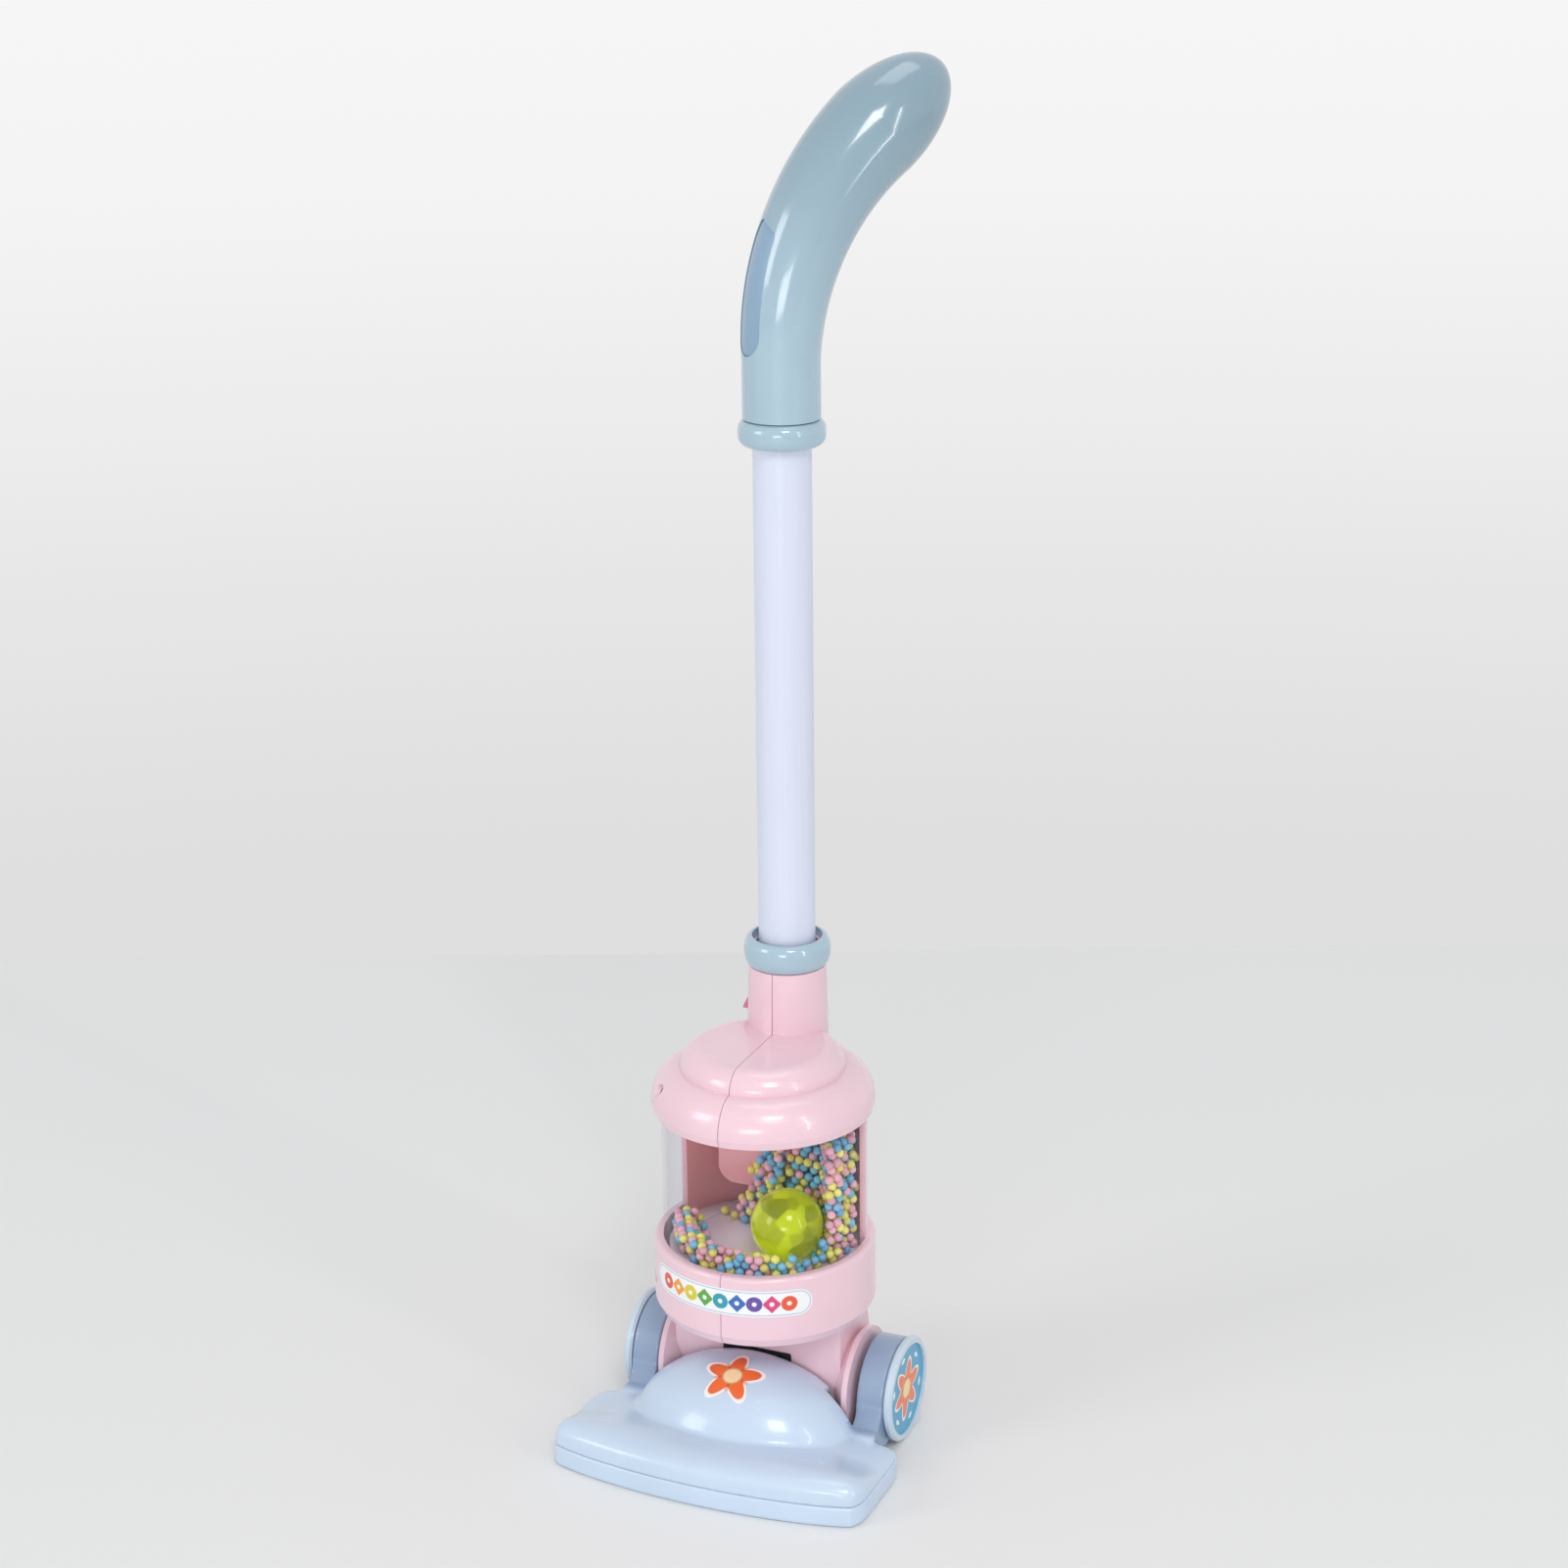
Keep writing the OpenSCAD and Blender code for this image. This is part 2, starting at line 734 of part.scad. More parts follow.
module battery_door() {
    color([0.93, 0.76, 0.82]) at_chamber() difference() {
        intersection() {
            band(back_r, back_in_r, door_z0 + door_gap, door_z1 - door_gap);
            block(-door_half + door_gap, door_half - door_gap, box_half, back_r + cut,
                door_z0 + door_gap, door_z1 - door_gap);
        }
        translate([0, 0, door_screw_z]) rotate([-90, 0, 0]) cylinder(r = screw_r + fit, h = back_r + cut);
        translate([0, back_r - screw_head_t, door_screw_z]) rotate([-90, 0, 0])
            cylinder(r = screw_head_r + fit, h = screw_head_t + cut);
    }
}

module door_screw() {
    color([0.75, 0.75, 0.78]) at_chamber() translate([0, 0, door_screw_z]) rotate([-90, 0, 0]) {
        translate([0, 0, back_r - screw_head_t + fit])
            cylinder(r = screw_head_r, h = screw_head_t - fit * 3);
        translate([0, 0, cell_y + cell_r + box_t]) cylinder(r = screw_r, h = back_r - screw_head_t
            - cell_y - cell_r - box_t + fit * 2);
    }
}

module switch_body() {
    color([0.2, 0.2, 0.22]) at_tube()
        block(-switch_x1, -switch_x0, -switch_w / 2, switch_w / 2, stop_z - fit - switch_h, stop_z - fit);
}

module switch_knob() {
    color([0.8, 0.4, 0.55]) at_tube() translate([0, knob_w / 2, knob_z]) rotate([90, 0, 0])
        linear_extrude(height = knob_w) polygon([[-knob_in, 0], [-knob_out, 0], [-knob_out, knob_lip],
            [-knob_top, knob_h], [-knob_in, knob_h]]);
}

module neck_ring() {
    ring_round = 3.2;
    color([0.62, 0.76, 0.88]) at_tube()
        soft_ring(spigot_r + fit + ring_t, spigot_r + fit, neck_z + fit, neck_z + ring_h, ring_round);
}

module front_label() {
    color([0.97, 0.97, 0.97]) at_chamber() sector(body_r + label_gap + label_t, body_r + label_gap,
        front_label_z0, front_label_z0 + front_label_h, 270 - front_label_half, front_label_half * 2);
}

// loose ball and beads
// bead places: two rings on the floor, one ring on top of them, and a heap on the battery box
bead_wall_gap = 0.3;
bead_row_gap = 0.4;
bead_nest_share = 0.88;
ring_out_r = floor_r - bead_r - bead_wall_gap;
ring_in_r = ring_out_r - bead_d - bead_row_gap;
ring_z = floor_z + bead_r + bead_gap;
ring_top_r = (ring_out_r + ring_in_r) / 2;
ring_top_z = ring_z + bead_d * bead_nest_share;
ring_from = 172;
ring_sweep = 196;
heap_z = ring_z + bead_d;
heap_rise_share = 0.8;
heap_step_share = 1.15;
heap_row_share = 0.87;
heap_rows = 10;

// the ball rests on the disc against the beads
ball_orbit = ring_top_r - (bead_r + ball_r) * ball_seat_share;
ball_x = ball_orbit * cos(ball_turn);
ball_y = ball_orbit * sin(ball_turn);
ball_rest_z = floor_z + rotor_rise * (rotor_r - ball_orbit) / (rotor_r - rotor_tip_r) + ball_r + ball_gap;

module ball_half(side) {
    at_chamber() translate([ball_x, ball_y, ball_rest_z]) difference() {
        sphere(r = ball_r);
        sphere(r = ball_r - ball_wall);
        translate([-ball_d, -ball_d, side > 0 ? -ball_d * 2 + label_gap : -label_gap])
            cube([ball_d * 2, ball_d * 2, ball_d * 2]);
    }
}

module ball_top() {
    color([0.66, 0.78, 0.05, 0.6]) ball_half(1);
}

module ball_bottom() {
    color([0.66, 0.78, 0.05, 0.6]) ball_half(-1);
}

function ring_beads(r, z, shift) =
    let (count = floor(ring_sweep / 360 * 2 * PI * r / bead_step))
    [for (i = [0 : count - 1]) let (a = ring_from + ring_sweep * (i + shift) / count)
        [r * cos(a), r * sin(a), z]];

function heap_beads() =
    let (step = bead_step * heap_step_share, cols = floor(box_half * 2 / step))
    [for (j = [0 : heap_rows - 1], i = [0 : cols - 1])
        let (x = -box_half + step * (i + 0.5 + (j % 2) / 2), z = heap_z + step * heap_row_share * j)
        if (x < box_half - bead_r && z < heap_z + bead_d + (x + box_half) * heap_rise_share
            && z > box_z0 + bead_r) [x, box_y - bead_r - bead_gap, z]];

bead_places = concat(ring_beads(ring_out_r, ring_z, 0), ring_beads(ring_in_r, ring_z, 0.5),
    ring_beads(ring_top_r, ring_top_z, 0.25), heap_beads());

function bead_colour(i) = (i * 7 + floor(i / 5) * 2 + floor(i / 11)) % 3;

module beads(which) {
    at_chamber() for (i = [0 : len(bead_places) - 1])
        if (bead_colour(i) == which) translate(bead_places[i]) sphere(r = bead_r, $fn = 24);
}

module beads_pink() {
    color([0.94, 0.66, 0.7]) beads(0);
}

module beads_blue() {
    color([0.36, 0.66, 0.85]) beads(1);
}

module beads_yellow() {
    color([0.86, 0.82, 0.35]) beads(2);
}

// tube, collar and grip
module tube() {
    color([0.88, 0.9, 0.97]) at_tube() band(tube_r, tube_r - tube_wall, tube_bottom_z, tube_top_z);
}

module grip_collar() {
    collar_round = 3.4;
    color([0.62, 0.76, 0.86]) at_tube() soft_ring(tube_r + collar_t, tube_r + label_gap, collar_z,
        grip_seam_z - fit * 2, collar_round);
}

// stations along the grip: [offset, height, lean, radius]
bend_steps = 12;
cap_steps = 8;
grip_sides = 28;
cap_stop_share = 0.997;
bend_end_s = grip_bend_r * (1 - cos(grip_bend));
bend_end_z = grip_bend_z + grip_bend_r * sin(grip_bend);

function grip_stations(inset, z0) = concat(
    [[0, z0, 0, grip_r - inset]],
    [for (j = [0 : bend_steps]) let (a = grip_bend * j / bend_steps)
        [grip_bend_r * (1 - cos(a)), grip_bend_z + grip_bend_r * sin(a), a,
            grip_r + (grip_r_max - grip_r) * j / bend_steps - inset]],
    [for (k = [1 : cap_steps]) let (t = (grip_cap - inset) * cap_stop_share * sin(90 * k / cap_steps))
        [bend_end_s + t * sin(grip_bend), bend_end_z + t * cos(grip_bend), grip_bend,
            (grip_r_max - inset) * sqrt(1 - pow(t / (grip_cap - inset), 2))]]);

function grip_ring(st) = [for (i = [0 : grip_sides - 1]) let (a = 360 * (i + 0.5) / grip_sides)
    [st[0] + st[3] * sin(a) * cos(st[2]), st[3] * cos(a), st[1] - st[3] * sin(a) * sin(st[2])]];

module grip_loft(stations) {
    m = grip_sides;
    n = len(stations);
    pts = [for (st = stations) each grip_ring(st)];
    walls = [for (j = [0 : n - 2], i = [0 : m - 1]) let (a = j * m + i, b = j * m + (i + 1) % m)
        each [[a, b, b + m], [a, b + m, a + m]]];
    ends = [[for (i = [m - 1 : -1 : 0]) i], [for (i = [0 : m - 1]) (n - 1) * m + i]];
    polyhedron(points = pts, faces = concat(walls, ends));
}

module in_grip() {
    at_tube() rotate([0, 0, 90 - grip_turn]) children();
}

pad_reach = 30;
pad_depth = 3;
pad_side = 12;

module pad_prism(gap) {
    w = pad_w / 2 - gap;
    translate([-pad_reach, 0, 0]) rotate([90, 0, 90]) linear_extrude(height = pad_reach + pad_depth) {
        polygon([[-w, pad_z0 + w], [w, pad_z0 + w], [w, pad_z1 - pad_side], [w / 2, pad_z1 - gap],
            [-w, pad_z1 - pad_side - w / 2]]);
        translate([0, pad_z0 + w + gap]) circle(r = w);
    }
}

module grip_half(side) {
    color([0.62, 0.76, 0.86]) in_grip() difference() {
        grip_loft(grip_stations(0, grip_seam_z));
        grip_loft(grip_stations(grip_wall, tube_top_z + cut));
        pillar(tube_r + label_gap, grip_seam_z - cut, tube_top_z + cut * 2);
        pad_prism(0);
        block(-far, far, side > 0 ? -far : 0, side > 0 ? 0 : far, 0, far * 2);
    }
}

module grip_left() {
    grip_half(1);
}

module grip_right() {
    grip_half(-1);
}

module thumb_pad() {
    color([0.55, 0.66, 0.84]) in_grip() intersection() {
        difference() {
            grip_loft(grip_stations(pad_sink, grip_seam_z));
            grip_loft(grip_stations(grip_wall + pad_sink, grip_seam_z - cut));
        }
        pad_prism(fit);
    }
}

// floor head: the plan is bowed in front and its corners are drawn in
function front_edge(x) = head_front_y + head_bow * pow(x / half_w, 2);
function plan_x(su, sv, inset) =
    (half_w - inset) * su * (1 - corner_share * pow(abs(sv), corner_power));
function plan_y(su, sv, inset) =
    let (f = front_edge(plan_x(su, sv, inset)) + inset, b = head_rear_y - inset)
    (f + b) / 2 + (b - f) / 2 * sv * (1 - corner_share * pow(abs(su), corner_power));
function roll_slope(x, y) =
    let (t = min(1, max(0, (y - slope_y) / slope_len)), mid = 1 - pow(x / half_w, 2))
    (1 - mid_dip * mid) * (1 - slope_share * (1 - mid_keep * mid) * t * t * (3 - 2 * t));
function roll_share(across, along) = pow(max(0, across), end_share) * pow(max(0, along), edge_share);
function spread(i, n) = sin(90 * (2 * i / n - 1));
function fall(i, n) = cos(90 * (2 * i / n - 1));

function head_outline(inset) = let (n = 24) concat(
    [for (i = [0 : n - 1]) let (s = spread(i, n)) [plan_x(s, -1, inset), plan_y(s, -1, inset)]],
    [for (i = [0 : n - 1]) let (s = spread(i, n)) [plan_x(1, s, inset), plan_y(1, s, inset)]],
    [for (i = [0 : n - 1]) let (s = -spread(i, n)) [plan_x(s, 1, inset), plan_y(s, 1, inset)]],
    [for (i = [0 : n - 1]) let (s = -spread(i, n)) [plan_x(-1, s, inset), plan_y(-1, s, inset)]]);

module roll_solid(inset, drop, z0, nu, nv) {
    pts = [for (i = [0 : nu], j = [0 : nv]) let (su = spread(i, nu), sv = spread(j, nv),
            x = plan_x(su, sv, inset), y = plan_y(su, sv, inset))
        [x, y, z0 + (roll_h * roll_slope(x, y) - drop) * roll_share(fall(i, nu), fall(j, nv))]];
    m = nv + 1;
    top = [for (i = [0 : nu - 1], j = [0 : nv - 1])
        let (a = i * m + j, b = a + 1, c = a + m + 1, d = a + m)
        each (i < nu / 2) == (j < nv / 2) ? [[a, b, c], [a, c, d]] : [[a, b, d], [b, c, d]]];
    rim = concat([for (i = [0 : nu - 1]) i * m], [for (j = [0 : nv - 1]) nu * m + j],
        [for (i = [nu : -1 : 1]) i * m + nv], [for (j = [nv : -1 : 1]) j]);
    polyhedron(points = pts, faces = concat(top, [rim]));
}

module round_cover(inset) {
    a = hood_dome_half + inset;
    r = hood_dome_r + inset;
    steps = 36;
    translate([0, hood_dome_y, hood_dome_z]) rotate([0, 90, 0]) rotate_extrude()
        polygon(concat([[0, -a]], [for (i = [1 : steps - 1]) let (t = 180 * i / steps)
            [r * sin(t), -a * cos(t)]], [[0, a]]));
}

module body_room() {
    at_axle() {
        plate_x(-yoke_half - body_gap, (yoke_half + body_gap) * 2) {
            circle(r = yoke_r + body_gap);
            translate([-yoke_r - body_gap, 0]) square([far, far]);
        }
        both_sides() rod_x(cheek_x - cheek_t - cheek_flare - cheek_gap, far,
            cheek_r + cheek_off + cheek_gap);
        translate([0, 0, -far]) plate_x(-far / 2, far) translate([-yoke_r - body_gap, 0])
            square([far, far]);
    }
}

module arm_outline() {
    rear = head_rear_y - axle_y;
    polygon(concat([[rear - arm_root, cover_z - axle_z],
        [rear + cover_inset, cover_z - axle_z], [rear + cover_inset, arm_z - axle_z],
        [-yoke_r / 2, arm_z - axle_z], [-yoke_r / 2, 0]],
        [for (p = arm_top_shares) [-hood_r * (1 + p[0]), -axle_z * p[1]]]));
}

module wheel_hood() {
    at_axle() difference() {
        union() {
            rod_x(hood_x0, hood_x1 - hood_x0, hood_r);
            plate_x(hood_x0, hood_x1 - hood_x0) arm_outline();
            rod_x(cheek_x + side_gap, hood_x0 - cheek_x, hood_boss_r);
        }
        rod_x(hood_x0 + hood_wall, far, hood_r - hood_wall);
        rod_x(0, far, axle_r + label_gap / 2);
        block(0, far, -far, far, -far, arm_z - axle_z);
    }
}

// base screws on one side: [across, along, top of the boss inside the cover]
screw_spots = [for (s = base_screw_shares)
    let (x = plan_x(s[0], s[1], cover_inset), y = plan_y(s[0], s[1], cover_inset))
    [x, y, cover_z + roll_h * roll_share(sqrt(1 - pow(s[0], 2)), sqrt(1 - pow(s[1], 2))) * roll_slope(x, y)
        - cover_wall / 2]];

module at_base_screws() {
    both_sides() for (p = screw_spots) translate([p[0], p[1], 0]) children();
}

module head_cover() {
    color([0.76, 0.84, 0.93]) {
        difference() {
            union() {
                roll_solid(cover_inset, 0, cover_z, grid_u, grid_v);
                intersection() {
                    round_cover(0);
                    block(-far, far, -far, far, cover_z, far);
                }
            }
            roll_solid(cover_inset + cover_wall, cover_wall, cover_z - fit, grid_in_u, grid_in_v);
            round_cover(-cover_wall);
            body_room();
        }
        both_sides() wheel_hood();
        both_sides() for (p = screw_spots) translate([p[0], p[1], 0]) difference() {
            pillar(boss_r, cover_wall + fit, p[2]);
            pillar(screw_r + fit, 0, tray_h + cut);
        }
    }
}

module base_tray() {
    color([0.74, 0.83, 0.93]) difference() {
        linear_extrude(height = tray_h) polygon(head_outline(0));
        translate([0, 0, cover_wall]) linear_extrude(height = tray_h) polygon(head_outline(cover_wall));
        at_base_screws() {
            pillar(screw_r + fit, -cut, tray_h);
            pillar(screw_head_r + fit, -cut, screw_head_t);
        }
    }
}

module base_screws() {
    color([0.75, 0.75, 0.78]) at_base_screws() {
        pillar(screw_head_r, fit * 3, screw_head_t - fit);
        pillar(screw_r, fit * 3, tray_h);
    }
}

module dome_label() {
    color([0.97, 0.97, 0.95]) intersection() {
        difference() {
            round_cover(label_gap + label_t);
            round_cover(label_gap);
        }
        translate([0, hood_dome_y, hood_dome_z]) rotate([90 - dome_label_tilt, 0, 0])
            cylinder(r = dome_label_r, h = far);
    }
}

module axle() {
    color([0.78, 0.78, 0.8]) at_axle()
        rod_x(-wheel_x + lip_t + axle_short, (wheel_x - lip_t - axle_short) * 2, axle_r);
}

module axle_nuts() {
    color([0.78, 0.78, 0.8]) at_axle() both_sides() difference() {
        rod_x(wheel_x - lip_t - nut_t - axle_short, nut_t, nut_r);
        rod_x(0, far, axle_r + label_gap / 2);
    }
}

module wheel_solid() {
    at_axle() rotate([0, 90, 0]) rotate_extrude() {
        bore = axle_r + run_gap;
        face = wheel_x - lip_t;
        polygon([[bore, hub_x], [hub_r, hub_x], [hub_r, wheel_in_x], [wheel_r - cut, wheel_in_x],
            [wheel_r, wheel_in_x + cut], [wheel_r, wheel_x - cut], [wheel_r - cut, wheel_x],
            [lip_r, wheel_x], [lip_r, face], [nut_pocket_r, face],
            [nut_pocket_r, face - nut_t - axle_short - side_gap],
            [bore, face - nut_t - axle_short - side_gap]]);
    }
}

module wheel_label() {
    at_axle() rod_x(wheel_x - lip_t + label_gap, label_t, lip_r - fit);
}

module left_wheel() {
    color([0.7, 0.8, 0.9]) mirror([1, 0, 0]) wheel_solid();
}

module right_wheel() {
    color([0.7, 0.8, 0.9]) wheel_solid();
}

module left_wheel_label() {
    color([0.18, 0.6, 0.78]) mirror([1, 0, 0]) wheel_label();
}

module right_wheel_label() {
    color([0.18, 0.6, 0.78]) wheel_label();
}

head_cover();
base_tray();
base_screws();
dome_label();
axle();
axle_nuts();
left_wheel();
right_wheel();
left_wheel_label();
right_wheel_label();
body_left_shell();
body_right_shell();
shell_screws();
clear_window();
chamber_floor();
chamber_ceiling();
motor();
motor_clamp();
motor_shaft();
rotor();
battery_box();
batteries();
battery_springs();
battery_plates();
battery_door();
door_screw();
switch_body();
switch_knob();
neck_ring();
front_label();
ball_top();
ball_bottom();
beads_pink();
beads_blue();
beads_yellow();
tube();
grip_collar();
grip_left();
grip_right();
thumb_pad();
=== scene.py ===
"""Looks of a toy upright vacuum cleaner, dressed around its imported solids.

The classes hold their sizes in millimetres, in the part's own frame, with the front towards -Y.
"""

import json
import logging
import math
import random
from dataclasses import dataclass
from enum import Enum
from typing import Any, Callable, Mapping, Optional, Sequence, Union

import bmesh
import bpy
import numpy as np
from mathutils import Matrix, Vector


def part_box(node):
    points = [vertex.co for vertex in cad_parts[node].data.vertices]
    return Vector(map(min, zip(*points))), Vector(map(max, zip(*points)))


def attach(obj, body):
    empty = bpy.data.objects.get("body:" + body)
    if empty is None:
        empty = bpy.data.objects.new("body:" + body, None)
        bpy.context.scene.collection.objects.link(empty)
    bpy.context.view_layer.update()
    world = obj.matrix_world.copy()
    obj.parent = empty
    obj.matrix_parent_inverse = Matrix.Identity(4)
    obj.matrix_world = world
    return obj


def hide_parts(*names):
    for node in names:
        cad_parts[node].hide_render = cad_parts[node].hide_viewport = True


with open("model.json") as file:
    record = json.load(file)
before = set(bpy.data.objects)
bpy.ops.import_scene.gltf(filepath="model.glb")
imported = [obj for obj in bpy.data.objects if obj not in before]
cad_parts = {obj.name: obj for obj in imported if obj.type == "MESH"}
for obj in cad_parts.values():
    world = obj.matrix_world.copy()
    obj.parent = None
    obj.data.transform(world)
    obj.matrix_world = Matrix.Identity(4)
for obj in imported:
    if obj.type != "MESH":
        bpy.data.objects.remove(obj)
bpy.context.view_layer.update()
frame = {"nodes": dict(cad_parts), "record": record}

MM = 0.001

# Bodies of the record, and places that several classes share, in millimetres
HANDLE, HEAD, BODY, BALL = "handle", "head", "body", "ball"
AXLE_Y, AXLE_Z = 5.0, 23.7
TUBE_Y, CHAMBER_Y = 24.0, -4.5
FLOOR_Z, DOME_Z0 = 90.0, 155.6
BODY_R = 49.2

# Angle in degrees above which an edge stays sharp, and two small limits
SHARP = 32.0
MERGE = 1e-7
TINY = 1e-6

log = logging.getLogger("toy_vacuum")

Array = np.ndarray
Field = Callable[[Array], Array]
Colour = tuple[float, float, float]
Station = tuple[float, float, float, float]


def linear(colour: Colour, share: float = 1.0) -> tuple[float, float, float, float]:
    """Turns a screen colour into the linear colour that a shader takes.

    Args:
        colour: red, green and blue from 0 to 1, as a screen shows them.
        share: factor on each channel, which is held below 1.

    Returns:
        The linear colour with full alpha.
    """
    scaled = (min(1.0, c * share) for c in colour)
    r, g, b = (c / 12.92 if c <= 0.04045 else ((c + 0.055) / 1.055) ** 2.4 for c in scaled)
    return (r, g, b, 1.0)


def math_operator(operation: str, swapped: bool = False) -> Callable[["Sock", Any], "Sock"]:
    """Makes an operator that adds a Math node.

    Args:
        operation: the node's operation.
        swapped: whether the other value comes first.

    Returns:
        The operator, as a method of Sock.
    """

    def apply(self: "Sock", other: Any) -> "Sock":
        """Adds the node."""
        values = (other, self) if swapped else (self, other)
        return self.graph.node("ShaderNodeMath", {"operation": operation}, dict(enumerate(values)))

    return apply


class Sock:
    """A node's output that adds Math nodes when it is used in an expression."""

    def __init__(self, graph: "Graph", socket: bpy.types.NodeSocket) -> None:
        """Keeps the graph and the socket."""
        self.graph = graph
        self.socket = socket

    def math(self, operation: str, *others: Any) -> "Sock":
        """Adds a Math node.

        Args:
            operation: the node's operation.
            others: further values or sockets after this one.

        Returns:
            The node's value.
        """
        inputs = dict(enumerate((self, *others)))
        return self.graph.node("ShaderNodeMath", {"operation": operation}, inputs)

    __add__, __radd__ = math_operator("ADD"), math_operator("ADD", True)
    __sub__, __rsub__ = math_operator("SUBTRACT"), math_operator("SUBTRACT", True)
    __mul__, __rmul__ = math_operator("MULTIPLY"), math_operator("MULTIPLY", True)
    __truediv__, __rtruediv__ = math_operator("DIVIDE"), math_operator("DIVIDE", True)
    __pow__, __rpow__ = math_operator("POWER"), math_operator("POWER", True)
    __lt__, __gt__ = math_operator("LESS_THAN"), math_operator("GREATER_THAN")

    def soft_below(self, edge: float, blur: float) -> "Sock":
        """Gives a soft mask.

        Args:
            edge: value at the middle of the step.
            blur: width of the step.

        Returns:
            1 well below the edge and 0 well above it.
        """
        low, high = edge - blur / 2, edge + blur / 2
        inputs = {"Value": self, "From Min": low, "From Max": high, "To Min": 1.0, "To Max": 0.0}
        return self.graph.node("ShaderNodeMapRange", {"interpolation_type": "SMOOTHSTEP"}, inputs)

    def other(self, name: str) -> "Sock":
        """Gives another output of the same node."""
        return Sock(self.graph, self.socket.node.outputs[name])


@dataclass(frozen=True)
class Noise:
    """A noise over a surface: one over its size in metres, its finer layers, and what it does there."""

    scale: float
    detail: float = 2.0
    stretch: Sequence[float] = ()
    dulls: float = 0.0
    depth: float = 0.0
    shows: float = 0.0


class Graph:
    """The node tree of one material or of the world."""

    def __init__(self, owner: Union[bpy.types.Material, bpy.types.World]) -> None:
        """Empties the owner's node tree."""
        self.owner = owner
        owner.use_nodes = True
        self.tree = owner.node_tree
        self.tree.nodes.clear()

    @classmethod
    def material(cls, name: str) -> "Graph":
        """Makes an empty node material of that name."""
        return cls(bpy.data.materials.new(name))

    def node(
        self,
        kind: str,
        settings: Optional[Mapping[str, Any]] = None,
        inputs: Optional[Mapping[Union[str, int], Any]] = None,
        out: Union[str, int] = 0,
    ) -> Sock:
        """Adds a node of any type.

        Args:
            kind: the node's type.
            settings: its own settings, set first; stops gives a ramp's places and colours.
            inputs: values or sockets by input name or number.
            out: the output to give back.

        Returns:
            That output.
        """
        made = self.tree.nodes.new(kind)
        for key, value in (settings or {}).items():
            if key == "stops":
                ramp = made.color_ramp
                while len(ramp.elements) < len(value):
                    ramp.elements.new(1.0)
                for element, (place, colour) in zip(ramp.elements, value):
                    element.position = place
                    element.color = colour
            elif key == "ramp_mode":
                made.color_ramp.interpolation = value
            else:
                setattr(made, key, value)
        for key, value in (inputs or {}).items():
            socket = made.inputs[key]
            if isinstance(value, Sock):
                self.tree.links.new(value.socket, socket)
            else:
                socket.default_value = value
        return Sock(self, made.outputs[out]) if len(made.outputs) else Sock(self, made.inputs[0])

    def place(self) -> Sock:
        """Gives the point on the object, in metres."""
        return self.node("ShaderNodeTexCoord", out="Object")

    def split(self, vector: Sock) -> tuple[Sock, Sock, Sock]:
        """Splits a vector into its three values."""
        x = self.node("ShaderNodeSeparateXYZ", {}, {"Vector": vector})
        return x, x.other("Y"), x.other("Z")

    def vector(self, operation: str, first: Sock, second: Sequence[float], out: Union[str, int] = 0) -> Sock:
        """Adds a Vector Math node on a socket and a fixed vector."""
        settings, inputs = {"operation": operation}, {0: first, 1: tuple(second)}
        return self.node("ShaderNodeVectorMath", settings, inputs, out)

    def noise(self, point: Sock, noise: Noise) -> Sock:
        """Gives a noise from 0 to 1.

        Args:
            point: the point on the object.
            noise: its size, layers and stretch.

        Returns:
            The noise.
        """
        at = self.vector("MULTIPLY", point, noise.stretch) if noise.stretch else point
        inputs = {"Vector": at, "Scale": noise.scale, "Detail": noise.detail}
        return self.node("ShaderNodeTexNoise", {}, inputs, "Fac")

    def cells(self, point: Sock, scale: float, out: str) -> Sock:
        """Gives the colour or the distance of cells of about 1 / scale metres."""
        return self.node("ShaderNodeTexVoronoi", {"feature": "F1"}, {"Vector": point, "Scale": scale}, out)

    def mix(self, share: Any, first: Any, second: Any) -> Sock:
        """Mixes two colours.

        Args:
            share: 0 for the first and 1 for the second, a number or a socket.
            first: a linear colour or a socket.
            second: a linear colour or a socket.

        Returns:
            The mixed colour.
        """
        settings = {"data_type": "RGBA", "clamp_factor": True}
        return self.node("ShaderNodeMix", settings, {0: share, 6: first, 7: second}, 2)

    def bump(self, height: Sock, depth: float, strength: float) -> Sock:
        """Gives a normal from a height.

        Args:
            height: height from 0 to 1.
            depth: metres that a height of 1 stands for.
            strength: how much of it shows.

        Returns:
            The normal.
        """
        return self.node("ShaderNodeBump", {}, {"Strength": strength, "Distance": depth, "Height": height})

    def principled(self, **inputs: Any) -> Sock:
        """Adds the main shader; names are its inputs with underscores."""
        return self.node("ShaderNodeBsdfPrincipled", {}, {k.replace("_", " "): v for k, v in inputs.items()})

    def finish(self, shader: Sock) -> bpy.types.Material:
        """Links a shader to the output and gives the material."""
        self.node("ShaderNodeOutputMaterial", {}, {"Surface": shader})
        return self.owner


